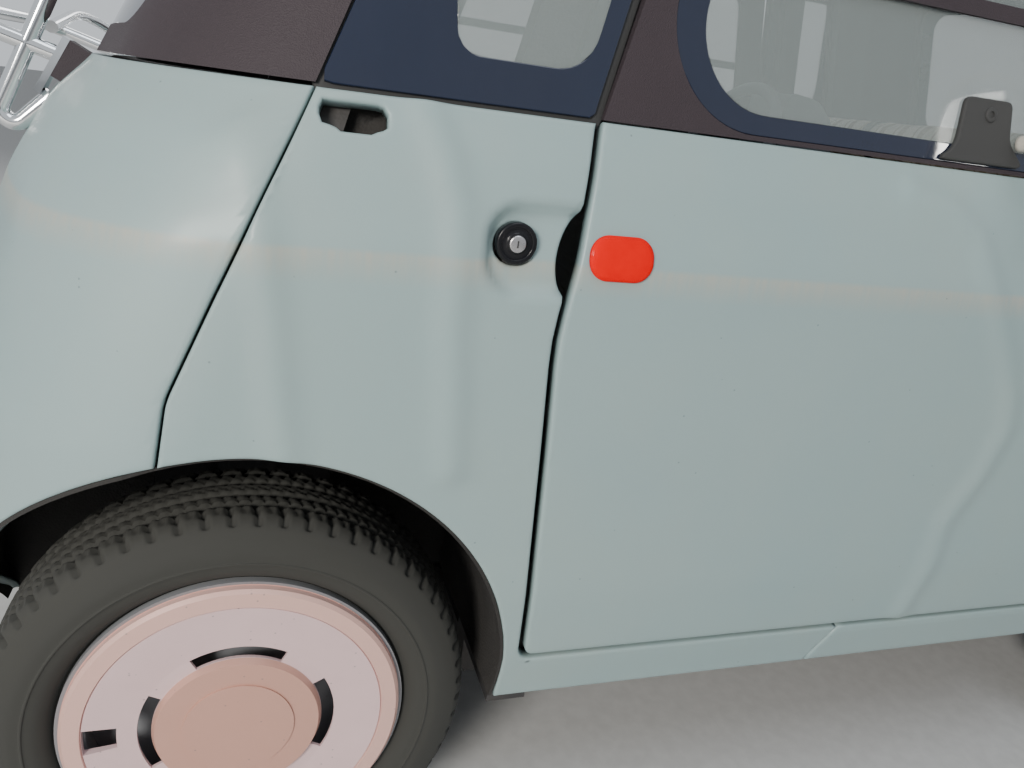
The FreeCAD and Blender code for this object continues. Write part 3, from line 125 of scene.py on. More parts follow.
def outline_distance(points: Array, loops: Sequence[Array]) -> tuple[Array, Array, Array]:
    """Distance from points to the nearest of several closed outlines.

    Each point is dropped at right angles on every segment, held between the segment's ends, and the
    shortest of those distances is kept. Inside is decided by counting the sides that a level ray crosses.

    Args:
        points: (n, 2) points.
        loops: closed outlines; holes are loops inside the first.

    Returns:
        Distance, nearest outline point and whether the point is inside the outlined area.
    """
    best = np.full(len(points), np.inf)
    nearest = np.zeros_like(points)
    inside = np.zeros(len(points), bool)
    for loop in loops:
        starts, ends = loop, np.roll(loop, -1, axis=0)
        for first in range(0, len(starts), SEGMENTS_AT_ONCE):
            a, b = starts[first:first + SEGMENTS_AT_ONCE], ends[first:first + SEGMENTS_AT_ONCE]
            along = b - a
            length2 = np.maximum((along ** 2).sum(1), 1e-16)
            t = np.clip(((points[:, None, :] - a) * along).sum(2) / length2, 0, 1)
            foot = a + t[..., None] * along
            distance = np.linalg.norm(points[:, None, :] - foot, axis=2)
            pick = distance.argmin(1)
            rows = np.arange(len(points))
            closer = distance[rows, pick] < best
            best = np.where(closer, distance[rows, pick], best)
            nearest = np.where(closer[:, None], foot[rows, pick], nearest)
            straddles = (a[:, 1] > points[:, 1:2]) != (b[:, 1] > points[:, 1:2])
            rise = np.where(np.abs(along[:, 1]) < 1e-12, 1e-12, along[:, 1])
            cross = a[:, 0] + (points[:, 1:2] - a[:, 1]) * along[:, 0] / rise
            inside ^= (straddles & (points[:, :1] < cross)).sum(1) % 2 == 1
    return best, nearest, inside


@dataclass
class Patch:
    """A flat trimmed grid: points, faces, and its boundary with outward directions."""

    points: Array
    quads: Array
    triangles: Array
    edges: Array
    outward: Array


def trimmed_patch(loops: Sequence[Array], spacing: float) -> Patch:
    """Grid of even cells cut to outlines.

    Grid points within half a cell of an outline move onto it, sharp corners get the nearest point, and
    cells keep whatever lies inside, so every edge of the patch lies on an outline.

    Args:
        loops: outer outline first, then the holes.
        spacing: cell size.

    Returns:
        The patch, with faces anticlockwise.
    """
    low = loops[0].min(0) - spacing * 1.5
    count = np.ceil((loops[0].max(0) - low) / spacing).astype(int) + 3
    a, b = np.meshgrid(np.arange(count[0]), np.arange(count[1]), indexing="ij")
    points = low + np.stack([a.ravel(), b.ravel()], 1) * spacing
    distance, nearest, inside = outline_distance(points, loops)
    on = distance < 0.5 * spacing
    points = np.where(on[:, None], nearest, points)
    for loop in loops:
        before, after = loop - np.roll(loop, 1, 0), np.roll(loop, -1, 0) - loop
        cross = before[:, 0] * after[:, 1] - before[:, 1] * after[:, 0]
        sharp = np.abs(np.arctan2(cross, (before * after).sum(1))) > SHARP_TURN
        for corner in loop[sharp]:
            index = np.linalg.norm(points - corner, axis=1).argmin()
            points[index] = corner
            on[index] = True
    status = np.where(on, 0, np.where(inside, -1, 1))
    index = np.arange(len(points)).reshape(count)
    cells = np.stack([index[:-1, :-1], index[1:, :-1], index[1:, 1:], index[:-1, 1:]], -1).reshape(-1, 4)
    state = status[cells]
    cells, state = cells[(state <= 0).sum(1) >= 3], state[(state <= 0).sum(1) >= 3]
    whole = (state <= 0).all(1)
    quads = cells[whole]
    mixed = (state[whole] == 0).all(1)
    middle_in = np.ones(len(quads), bool)
    if mixed.any():
        middle_in[mixed] = outline_distance(points[quads[mixed]].mean(1), loops)[2]
    quads = quads[middle_in]
    part, part_state = cells[~whole], state[~whole]
    out = part_state.argmax(1)
    order = (out[:, None] + np.array([1, 2, 3])) % 4
    triangles = np.take_along_axis(part, order, 1)
    if len(triangles):
        triangles = triangles[outline_distance(points[triangles].mean(1), loops)[2]]
    directed = np.concatenate([
        np.stack([quads, np.roll(quads, -1, 1)], -1).reshape(-1, 2),
        np.stack([triangles, np.roll(triangles, -1, 1)], -1).reshape(-1, 2)])
    size = len(points)
    key, back = directed[:, 0] * size + directed[:, 1], directed[:, 1] * size + directed[:, 0]
    edges = directed[~np.isin(key, back)]
    spread_along(points, edges)
    settle(points, quads, triangles, edges)
    along = points[edges[:, 1]] - points[edges[:, 0]]
    side = np.stack([along[:, 1], -along[:, 0]], 1)
    side /= np.maximum(np.linalg.norm(side, axis=1), 1e-9)[:, None]
    outward = np.zeros_like(points)
    np.add.at(outward, edges[:, 0], side)
    np.add.at(outward, edges[:, 1], side)
    lengths = np.linalg.norm(outward, axis=1)
    outward = outward / np.where(lengths > 0, lengths, 1)[:, None]
    return Patch(points, quads, triangles, edges, outward)


def spread_along(points: Array, edges: Array) -> None:
    """Even out the boundary points: each moves part of the way to the middle of its two neighbours.

    Only the part of that move along the boundary counts, and points at a bend of over 12 degrees stay.
    """
    after = np.full(len(points), -1)
    before = np.full(len(points), -1)
    after[edges[:, 0]] = edges[:, 1]
    before[edges[:, 1]] = edges[:, 0]
    rim = np.unique(edges)
    rim = rim[(after[rim] >= 0) & (before[rim] >= 0)]
    for _ in range(SPREAD_ROUNDS):
        back, ahead = points[rim] - points[before[rim]], points[after[rim]] - points[rim]
        long_back, long_ahead = np.linalg.norm(back, axis=1), np.linalg.norm(ahead, axis=1)
        cross = back[:, 0] * ahead[:, 1] - back[:, 1] * ahead[:, 0]
        straight = np.abs(np.arctan2(cross, (back * ahead).sum(1))) < KEPT_BEND
        slide = (long_ahead - long_back) / 2 * ROUND_SHARE
        toward = np.where((slide > 0)[:, None], ahead / np.maximum(long_ahead, 1e-9)[:, None],
                          back / np.maximum(long_back, 1e-9)[:, None])
        points[rim] += np.where(straight, slide, 0)[:, None] * toward


def settle(points: Array, quads: Array, triangles: Array, edges: Array) -> None:
    """Relax the points just inside the boundary towards their neighbours' mean, so that no cell folds."""
    joined = np.concatenate([quads[:, [0, 1]], quads[:, [1, 2]], quads[:, [2, 3]], quads[:, [3, 0]],
                             triangles[:, [0, 1]], triangles[:, [1, 2]], triangles[:, [2, 0]]])
    joined = np.unique(np.sort(joined, axis=1), axis=0)
    fixed = np.zeros(len(points), bool)
    fixed[np.unique(edges)] = True
    near = fixed.copy()
    for _ in range(SETTLE_RINGS):
        touched = near[joined].any(1)
        near[joined[touched].ravel()] = True
    free = near & ~fixed
    for _ in range(SETTLE_ROUNDS):
        total, count = np.zeros_like(points), np.zeros(len(points))
        for a, b in ((0, 1), (1, 0)):
            np.add.at(total, joined[:, a], points[joined[:, b]])
            np.add.at(count, joined[:, a], 1)
        mean = total / np.maximum(count, 1)[:, None]
        points[free] += ROUND_SHARE * (mean[free] - points[free])


# ---------------------------------------------------------------- the body form


def smooth_step(value: Array, low: float, high: float) -> Array:
    """0 below low, 1 above high, and 3t² - 2t³ between."""
    t = np.clip((value - low) / (high - low), 0, 1)
    return t * t * (3 - 2 * t)


@dataclass(frozen=True)
class BodyForm:
    """Outer surface of the car: at each height an outline of straight sides, round corners, bowed ends."""

    half_length: float = 1.2675
    half_width: float = 0.700
    bow_radius: float = 1.5
    softness: float = 0.026
    heights: tuple = (0.286, 0.361, 0.453, 0.650, 0.860, 0.950, 1.003, 1.180, 1.440, 1.530)
    end_insets: tuple = (0.045, 0.020, 0.002, 0.014, 0.092, 0.143, 0.197, 0.290, 0.430, 0.640)
    side_insets: tuple = (0.026, 0.010, 0.002, 0.000, 0.003, 0.027, 0.050, 0.080, 0.128, 0.300)
    corner_radii: tuple = (0.240, 0.250, 0.258, 0.262, 0.262, 0.258, 0.250, 0.235, 0.210, 0.150)

    def softened(self, values: tuple, z: Array) -> Array:
        """Straight lines between the table's heights, averaged over a short span so creases are soft."""
        fine = np.arange(0.2, 1.6, 0.001)
        line = np.interp(fine, self.heights, values)
        width = int(self.softness / 0.001)
        kernel = np.ones(width) / width
        padded = np.pad(line, width, mode="edge")
        soft = np.convolve(np.convolve(padded, kernel, "same"), kernel, "same")[width:-width]
        return np.interp(z, fine, soft)

    def outline(self, z: Array) -> dict[str, Array]:
        """Lengths that fix the outline at each height.

        The corner circle touches the straight side and the bow's circle from inside, which fixes where the
        straight side ends and through what angle the corner turns.
        """
        end = self.half_length - self.softened(self.end_insets, z)
        side = self.half_width - self.softened(self.side_insets, z)
        corner = self.softened(self.corner_radii, z)
        corner_y = side - corner
        reach = np.sqrt((self.bow_radius - corner) ** 2 - corner_y ** 2)
        bow_x = end - self.bow_radius
        turn = np.arctan2(corner_y, reach)
        straight = bow_x + reach
        swing = np.pi / 2 - turn
        total = straight + corner * swing + self.bow_radius * turn
        return dict(end=end, side=side, corner=corner, corner_y=corner_y, bow_x=bow_x, turn=turn,
                    straight=straight, swing=swing, total=total)

    def quarter(self, run: Array, z: Array) -> tuple[Array, Array]:
        """Point of one quarter of the outline, a run along it from the middle of the side.

        Returns:
            Distances from the centre towards the end and towards the side.
        """
        o = self.outline(z)
        angle = np.clip((run - o["straight"]) / o["corner"], 0, o["swing"])
        past = run - o["straight"] - o["corner"] * o["swing"]
        bow = o["turn"] - past / self.bow_radius
        along = np.where(run < o["straight"], run,
                         np.where(past < 0, o["straight"] + o["corner"] * np.sin(angle),
                                  o["bow_x"] + self.bow_radius * np.cos(bow)))
        out = np.where(run < o["straight"], o["side"],
                       np.where(past < 0, o["corner_y"] + o["corner"] * np.cos(angle),
                                self.bow_radius * np.sin(bow)))
        return along, out

    def run_at(self, x: Array, z: Array) -> Array:
        """Run along the outline that reaches a distance x from the middle in side view."""
        o = self.outline(z)
        sine = np.clip((x - o["straight"]) / o["corner"], 0, np.sin(o["swing"]))
        on_arc = o["straight"] + o["corner"] * np.arcsin(sine)
        cosine = np.clip((x - o["bow_x"]) / self.bow_radius, -1, 1)
        on_bow = o["total"] - self.bow_radius * np.arccos(cosine)
        arc_end = o["straight"] + o["corner"] * np.sin(o["swing"])
        return np.where(x < o["straight"], x, np.where(x < arc_end, on_arc, on_bow))

    def side_point(self, uv: Array) -> Array:
        """Right side: u runs forward from the middle along the outline, v is the height."""
        along, out = self.quarter(np.abs(uv[:, 0]), uv[:, 1])
        return np.stack([np.sign(uv[:, 0]) * along, -out, uv[:, 1]], 1)

    def end_point(self, uv: Array) -> Array:
        """Rear end: u runs from the centre line towards the right side, v is the height."""
        total = self.outline(uv[:, 1])["total"]
        along, out = self.quarter(total - np.abs(uv[:, 0]), uv[:, 1])
        return np.stack([-along, -np.sign(uv[:, 0]) * out, uv[:, 1]], 1)

    def side_outline(self, outline: Array) -> Array:
        """Side-view outline (x, z) drawn on the right side's surface."""
        u = np.sign(outline[:, 0]) * self.run_at(np.abs(outline[:, 0]), outline[:, 1])
        return np.stack([u, outline[:, 1]], 1)

    def end_run(self, x: Array, z: Array) -> Array:
        """Distance from the rear end's centre line to a side-view place x (positive rearwards)."""
        return self.outline(z)["total"] - self.run_at(x, z)

    def end_outline(self, outline: Array) -> Array:
        """End-view outline (y, z) drawn on the rear end's surface, right side positive."""
        o = self.outline(outline[:, 1])
        y = np.abs(outline[:, 0])
        bow = self.bow_radius * np.arcsin(np.clip(y / self.bow_radius, -1, 1))
        edge = self.bow_radius * np.sin(o["turn"])
        swing = np.arccos(np.clip((y - o["corner_y"]) / o["corner"], -1, 1))
        arc = self.bow_radius * o["turn"] + o["corner"] * (o["swing"] - swing)
        return np.stack([-np.sign(outline[:, 0]) * np.where(y < edge, bow, arc), outline[:, 1]], 1)


FORM = BodyForm()


class Place(Enum):
    """Where a shape drawn on the right side or rear end goes: factors for x and y."""

    AS_DRAWN = (1, 1)
    TURNED = (-1, -1)
    MIRROR_ENDS = (-1, 1)
    MIRROR_SIDES = (1, -1)


@dataclass(frozen=True)
class ShellSpec:
    """How a trimmed patch becomes a shell: rounded edge, flange depth, sheet thickness, offset inward."""

    edge: float = 0.003
    flange: float = 0.016
    sheet: float = 0.003
    inset: float = 0.0


def slopes(surface: Surface, uv: Array) -> tuple[Array, Array, Array]:
    """A surface's slopes along u and v, by small differences, and its normal, their cross product."""
    slope_u = (surface(uv + [SLOPE_STEP, 0]) - surface(uv - [SLOPE_STEP, 0])) / (2 * SLOPE_STEP)
    slope_v = (surface(uv + [0, SLOPE_STEP]) - surface(uv - [0, SLOPE_STEP])) / (2 * SLOPE_STEP)
    normal = np.cross(slope_u, slope_v)
    normal /= np.linalg.norm(normal, axis=1)[:, None]
    return slope_u, slope_v, normal


def surface_inset(surface: Surface, uv: Array, depth: float) -> Array:
    """Points a depth inside a surface, along its normal."""
    return surface(uv) - slopes(surface, uv)[2] * depth


def shell(loops: Sequence[Array], spacing: float, surface: Surface, spec: ShellSpec,
          feature: Optional[Feature] = None) -> Shape:
    """Closed sheet on a curved surface, with its edges rolled in and returned as a flange.

    The outer face is the surface moved along its normal by the feature's height. Its boundary is drawn
    back by the edge radius, and rings along a quarter circle, the flange and its inside lead to an inner
    face one sheet thickness in.

    Args:
        loops: outer outline and holes on the surface.
        spacing: cell size.
        surface: maps outline points to space.
        spec: sizes of the edge, flange and sheet.
        feature: height above the surface at each grid point.
    """
    patch = trimmed_patch(loops, spacing)
    used = np.zeros(len(patch.points), bool)
    used[patch.quads.ravel()] = True
    used[patch.triangles.ravel()] = True
    remap = np.cumsum(used) - 1
    uv, outward = patch.points[used], patch.outward[used]
    quads, triangles, edges = remap[patch.quads], remap[patch.triangles], remap[patch.edges]
    slope_u, slope_v, normal = slopes(surface, uv)
    lift = np.zeros(len(uv)) if feature is None else feature(uv[:, 0], uv[:, 1])
    base = surface(uv) + normal * (lift - spec.inset)[:, None]
    conormal = slope_u * outward[:, :1] + slope_v * outward[:, 1:]
    rim = np.unique(edges)
    conormal[rim] /= np.linalg.norm(conormal, axis=1)[rim][:, None]
    conormal = np.where(np.isin(np.arange(len(uv)), rim)[:, None], conormal, 0)
    radius, sheet = spec.edge, spec.sheet
    bend = 1 - math.sqrt(0.5)
    rings = [base - conormal * radius * bend - normal * radius * bend,
             base - normal * radius,
             base - normal * spec.flange,
             base - conormal * sheet - normal * spec.flange,
             base - conormal * sheet - normal * (sheet + radius)]
    outer, inner = base - conormal * radius, base - conormal * (sheet + radius) - normal * sheet
    count, rim_count = len(uv), len(rim)
    spot = np.full(count, -1)
    spot[rim] = np.arange(rim_count)
    points = np.concatenate([outer, inner] + [ring[rim] for ring in rings])
    faces = [quads, triangles, quads[:, ::-1] + count, triangles[:, ::-1] + count]
    chain = [edges] + [2 * count + i * rim_count + spot[edges] for i in range(len(rings))] + [edges + count]
    for first, second in zip(chain, chain[1:]):
        faces.append(np.stack([first[:, 1], first[:, 0], second[:, 0], second[:, 1]], 1))
    return points, faces


def make_piece(name: str, shape: Shape, finish: "Finish", body: str, node: str = "",
               place: Place = Place.AS_DRAWN, sharp: Optional[float] = None) -> bpy.types.Object:
    """Object from points and faces: placed, merged, smooth-shaded, dressed, and riding on its body.

    Args:
        name: object name.
        shape: points (n, 3) and face index arrays of any widths.
        finish: finish for all its faces.
        body: CAD body that it rides on.
        node: CAD node that it stands for, if any.
        place: where the drawn shape goes.
        sharp: edges bent by more than this angle are shaded sharp.
    """
    points, faces = shape
    sign_x, sign_y = place.value
    flip = sign_x * sign_y < 0
    lists = [face for block in faces for face in (block[:, ::-1] if flip else block).tolist()]
    mesh = bpy.data.meshes.new(name)
    mesh.from_pydata((points * [sign_x, sign_y, 1]).tolist(), [], lists)
    work = bmesh.new()
    work.from_mesh(mesh)
    bmesh.ops.remove_doubles(work, verts=work.verts, dist=MERGE_DISTANCE)
    bmesh.ops.dissolve_degenerate(work, edges=work.edges, dist=1e-6)
    bmesh.ops.delete(work, geom=[v for v in work.verts if not v.link_faces], context="VERTS")
    work.to_mesh(mesh)
    work.free()
    mesh.polygons.foreach_set("use_smooth", np.ones(len(mesh.polygons), bool))
    if sharp is not None:
        mesh.set_sharp_from_angle(angle=math.radians(sharp))
    mesh.materials.append(finish.material())
    piece = bpy.data.objects.new(name, mesh)
    bpy.context.scene.collection.objects.link(piece)
    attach(piece, body)
    if node:
        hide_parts(node)
    LOG.info("%s: %d faces on %s", name, len(mesh.polygons), body)
    return piece


def grid_faces(rows: int, columns: int, wrap_rows: bool = False, wrap_columns: bool = False) -> Array:
    """Quads of a grid of points numbered row by row."""
    i = np.arange(rows if wrap_rows else rows - 1)[:, None]
    j = np.arange(columns if wrap_columns else columns - 1)[None, :]
    k, m = (i + 1) % rows, (j + 1) % columns
    return np.stack([i * columns + j, k * columns + j, k * columns + m, i * columns + m], -1).reshape(-1, 4)


def swept(rings: Sequence[Array], closed: bool = False) -> Shape:
    """Strip through closed rings of equally many points, one row of faces between each two."""
    points = np.stack(rings, 1)
    return points.reshape(-1, 3), [grid_faces(*points.shape[:2], True, closed)]


def revolve(profile: Sequence, steps: int, centre: Sequence[float], axis: Sequence[float],
            closed: bool = False, ripple: Optional[Callable[[Array, Array], Array]] = None) -> Shape:
    """Surface swept by a profile about an axis, facing outwards for a profile that runs along the axis.

    A profile point (r, h) in millimetres at angle t goes to centre + axis·h + (across·cos t + up·sin t)·r.

    Args:
        profile: radii and heights along the axis, in millimetres.
        steps: points round the circle.
        centre: origin of the heights.
        axis: direction of the heights.
        closed: whether the profile's last point joins its first.
        ripple: extra radius at (angle, profile row), as an array.
    """
    profile = np.array(profile) / 1000
    axis = np.array(axis) / np.linalg.norm(axis)
    helper = np.array([0.0, 0.0, 1.0]) if abs(axis[2]) < 0.9 else np.array([1.0, 0.0, 0.0])
    across = np.cross(helper, axis)
    across /= np.linalg.norm(across)
    up = np.cross(axis, across)
    angle = np.arange(steps) / steps * 2 * np.pi
    radius = np.repeat(profile[None, :, 0], steps, 0)
    if ripple is not None:
        radius = radius + ripple(angle[:, None], np.arange(len(profile))[None, :])
    ring = across * np.cos(angle)[:, None] + up * np.sin(angle)[:, None]
    points = centre + ring[:, None, :] * radius[..., None] + axis * profile[None, :, 1:]
    return points.reshape(-1, 3), [grid_faces(steps, len(profile), True, closed)]


def tube(path: Array, radius: float, sides: int) -> Shape:
    """Round tube along a path, its ends closed by low cones.

    At each path point the tangent is the difference of its neighbours; a fixed sideways vector made
    square to it and their cross product carry the circle.
    """
    tangent = np.gradient(path, axis=0)
    tangent /= np.linalg.norm(tangent, axis=1)[:, None]
    frame_side = np.zeros_like(path)
    previous = np.array([0.31, 0.87, 0.38])
    for index, direction in enumerate(tangent):
        previous = previous - direction * (previous @ direction)
        previous = previous / np.linalg.norm(previous)
        frame_side[index] = previous
    other = np.cross(tangent, frame_side)
    angle = np.arange(sides) / sides * 2 * np.pi
    points = (path[:, None] + radius * (frame_side[:, None] * np.cos(angle)[None, :, None]
                                        + other[:, None] * np.sin(angle)[None, :, None])).reshape(-1, 3)
    tips = np.array([path[0] - tangent[0] * radius * 0.3, path[-1] + tangent[-1] * radius * 0.3])
    base, last = len(points), (len(path) - 1) * sides
    ring = np.arange(sides)
    ahead = (ring + 1) % sides
    faces = [grid_faces(len(path), sides, False, True)[:, ::-1],
             np.stack([ring, np.full(sides, base), ahead], 1),
             np.stack([last + ahead, np.full(sides, base + 1), last + ring], 1)]
    return np.concatenate([points, tips]), faces


def cube_sheets(ticks: Callable[[int], tuple[Array, Array]], low: Array, high: Array) -> Shape:
    """Six gridded faces of a box, facing outwards.

    Args:
        ticks: grid lines of the face square to the first axis, along the two axes that follow it.
        low: lowest corner.
        high: highest corner.
    """
    points, faces, count = [], [], 0
    for axis in range(3):
        first, second = (axis + 1) % 3, (axis + 2) % 3
        grid_a, grid_b = np.meshgrid(*ticks(axis), indexing="ij")
        quads = grid_faces(*grid_a.shape)
        for level, turn in ((low[axis], True), (high[axis], False)):
            sheet = np.zeros((grid_a.size, 3))
            sheet[:, first], sheet[:, second], sheet[:, axis] = grid_a.ravel(), grid_b.ravel(), level
            faces.append((quads[:, ::-1] if turn else quads) + count)
            points.append(sheet)
            count += len(sheet)
    return np.concatenate(points), faces


def rounded_block(low: Sequence[float], high: Sequence[float], radius: float, cells: int = 3) -> Shape:
    """Block whose edges and corners are rounded.

    Each face of a finely divided box keeps its flat part; every point is pulled to the distance of the
    radius from the box drawn in by that radius, which rounds all twelve edges and eight corners.
    """
    low, high = np.array(low, float), np.array(high, float)
    bend = np.linspace(0, radius, cells + 1)
    ticks = [np.unique(np.concatenate([a + bend, np.linspace(a + radius, b - radius, 4), b - bend]).round(9))
             for a, b in zip(low, high)]
    points, faces = cube_sheets(lambda axis: (ticks[(axis + 1) % 3], ticks[(axis + 2) % 3]), low, high)
    core = np.clip(points, low + radius, high - radius)
    away = points - core
    length = np.linalg.norm(away, axis=1)[:, None]
    return core + away / np.where(length > 0, length, 1) * radius, faces


def smooth_line(points: Array, per_run: int) -> Array:
    """Curve through points, a cubic on each run; its slope at a point is half its neighbours' difference."""
    padded = np.concatenate([2 * points[:1] - points[1:2], points, 2 * points[-1:] - points[-2:-1]])
    t = (np.arange(per_run) / per_run)[None, :, None]
    before, start, end, after = (padded[i:len(padded) - 3 + i][:, None] for i in range(4))
    curve = 0.5 * (2 * start + (end - before) * t + (2 * before - 5 * start + 4 * end - after) * t ** 2
                   + (3 * start - before - 3 * end + after) * t ** 3)
    return np.concatenate([curve.reshape(-1, points.shape[1]), points[-1:]])


# ---------------------------------------------------------------- finishes


class Tree:
    """Short way to add nodes to a node tree and join them."""

    def __init__(self, tree: bpy.types.NodeTree) -> None:
        """Keep the tree."""
        self.tree = tree

    def add(self, kind: str, sockets: Optional[dict] = None, **settings: object) -> bpy.types.Node:
        """Add a node.

        Args:
            kind: node type without its ShaderNode prefix.
            sockets: input name or number to a value or to an output socket.
            settings: the node's own properties.
        """
        node = self.tree.nodes.new(kind if kind.startswith("Node") else "ShaderNode" + kind)
        for key, value in settings.items():
            setattr(node, key, value)
        for key, value in (sockets or {}).items():
            if isinstance(value, bpy.types.NodeSocket):
                self.tree.links.new(value, node.inputs[key])
            else:
                node.inputs[key].default_value = value
        return node

    def math(self, operation: str, first: object, second: object = 0.0) -> bpy.types.NodeSocket:
        """Output of a math node on two values or sockets."""
        return self.add("Math", {0: first, 1: second}, operation=operation).outputs[0]

    def times(self, first: object, second: object) -> bpy.types.NodeSocket:
        """Product of two values or sockets."""
        return self.math("MULTIPLY", first, second)

    def mix(self, factor: object, first: object, second: object) -> bpy.types.NodeSocket:
        """Colour mixed from two colours by a factor."""
        return self.add("Mix", {0: factor, 6: first, 7: second}, data_type="RGBA").outputs[2]

    def span(self, value: object, low: float, high: float, to_low: float = 0.0,
             to_high: float = 1.0) -> bpy.types.NodeSocket:
        """Value mapped from one range onto another and held there."""
        return self.add("MapRange", {0: value, 1: low, 2: high, 3: to_low, 4: to_high}).outputs[0]

    def place(self) -> bpy.types.NodeSocket:
        """Object coordinates."""
        return self.add("TexCoord").outputs["Object"]

    def part(self, vector: object, index: int) -> bpy.types.NodeSocket:
        """One component of a vector."""
        return self.add("SeparateXYZ", {0: vector}).outputs[index]

    def noise(self, place: object, scale: object, detail: float, rough: float = 0.5) -> bpy.types.NodeSocket:
        """Noise at a place."""
        sockets = {"Vector": place, "Scale": scale, "Detail": detail, "Roughness": rough}
        return self.add("TexNoise", sockets).outputs[0]

    def runs(self, place: object, stretch: Triple, detail: float) -> bpy.types.NodeSocket:
        """Noise drawn out along the axes of little stretch, as water leaves it."""
        return self.noise(self.add("Mapping", {"Vector": place, "Scale": stretch}).outputs[0], 1.0, detail)


class Effect(Enum):
    """Shader node groups that several finishes share."""

    MOTTLE = "mottle"
    DUST = "settled_dust"
    GRAIN = "moulded_grain"
    SPECKS = "specks"

    def group(self) -> bpy.types.NodeTree:
        """The effect's node group, made on first use."""
        existing = bpy.data.node_groups.get(self.value)
        return existing if existing else getattr(self, "_make_" + self.name.lower())()

    def _new(self, inputs: dict[str, float], output: str) -> tuple[bpy.types.NodeTree, Tree, list, object]:
        """Empty group with named float inputs and one float output; its input sockets and coordinates."""
        group = bpy.data.node_groups.new(self.value, "ShaderNodeTree")
        for name, value in inputs.items():
            socket = group.interface.new_socket(name, in_out="INPUT", socket_type="NodeSocketFloat")
            socket.default_value = value
        group.interface.new_socket(output, in_out="OUTPUT", socket_type="NodeSocketFloat")
        t = Tree(group)
        given = t.add("NodeGroupInput").outputs
        return group, t, [given[name] for name in inputs], t.place()

    def _make_mottle(self) -> bpy.types.NodeTree:
        """Soft patches: two octaves of noise stretched to the whole range."""
        group, t, (scale,), place = self._new({"Scale": 3.0}, "Mask")
        t.add("NodeGroupOutput", {"Mask": t.span(t.noise(place, scale, 5.0, 0.6), 0.3, 0.7)})
        return group

    def _make_dust(self) -> bpy.types.NodeTree:
        """Dust: more on surfaces that face up and low on the car, broken up by noise and run marks."""
        group, t, (amount, scale, low), place = self._new({"Amount": 0.5, "Scale": 9.0, "Low": 0.9}, "Mask")
        up = t.part(t.add("NewGeometry").outputs["Normal"], 2)
        height = t.part(place, 2)
        noise = t.noise(place, scale, 8.0, 0.65)
        runs = t.runs(place, (60.0, 60.0, 1.6), 3.0)
        facing = t.span(up, -0.1, 0.9, 0.1, 1.0)
        low = t.times(t.span(height, 0.15, 0.75, 0.6, 0.0), low)
        both = t.times(t.math("ADD", facing, low), t.span(noise, 0.35, 0.65, 0.25, 1.1))
        both = t.times(both, t.span(runs, 0.3, 0.7, 0.7, 1.15))
        t.add("NodeGroupOutput", {"Mask": t.times(both, amount)})
        return group

    def _make_grain(self) -> bpy.types.NodeTree:
        """Moulded leather grain: cells with rounded tops, roughened by fine noise."""
        group, t, (scale,), place = self._new({"Scale": 700.0}, "Height")
        cells = t.add("TexVoronoi", {"Vector": place, "Scale": scale}).outputs[0]
        fine = t.noise(place, t.times(scale, 1.7), 2.0)
        t.add("NodeGroupOutput", {"Height": t.math("ADD", cells, t.times(fine, 0.5))})
        return group

    def _make_specks(self) -> bpy.types.NodeTree:
        """Scattered specks: cells of which only a few are marked, each as a small spot."""
        group, t, (scale, share), place = self._new({"Scale": 160.0, "Share": 0.06}, "Mask")
        cells = t.add("TexVoronoi", {"Vector": place, "Scale": scale})
        chosen = t.math("LESS_THAN", t.part(cells.outputs[1], 0), share)
        t.add("NodeGroupOutput", {"Mask": t.times(chosen, t.span(cells.outputs[0], 0.10, 0.22, 1.0, 0.0))})
        return group


def rgba(colour: Colour) -> tuple[float, float, float, float]:
    """Colour with full alpha."""
    return (*colour, 1.0)


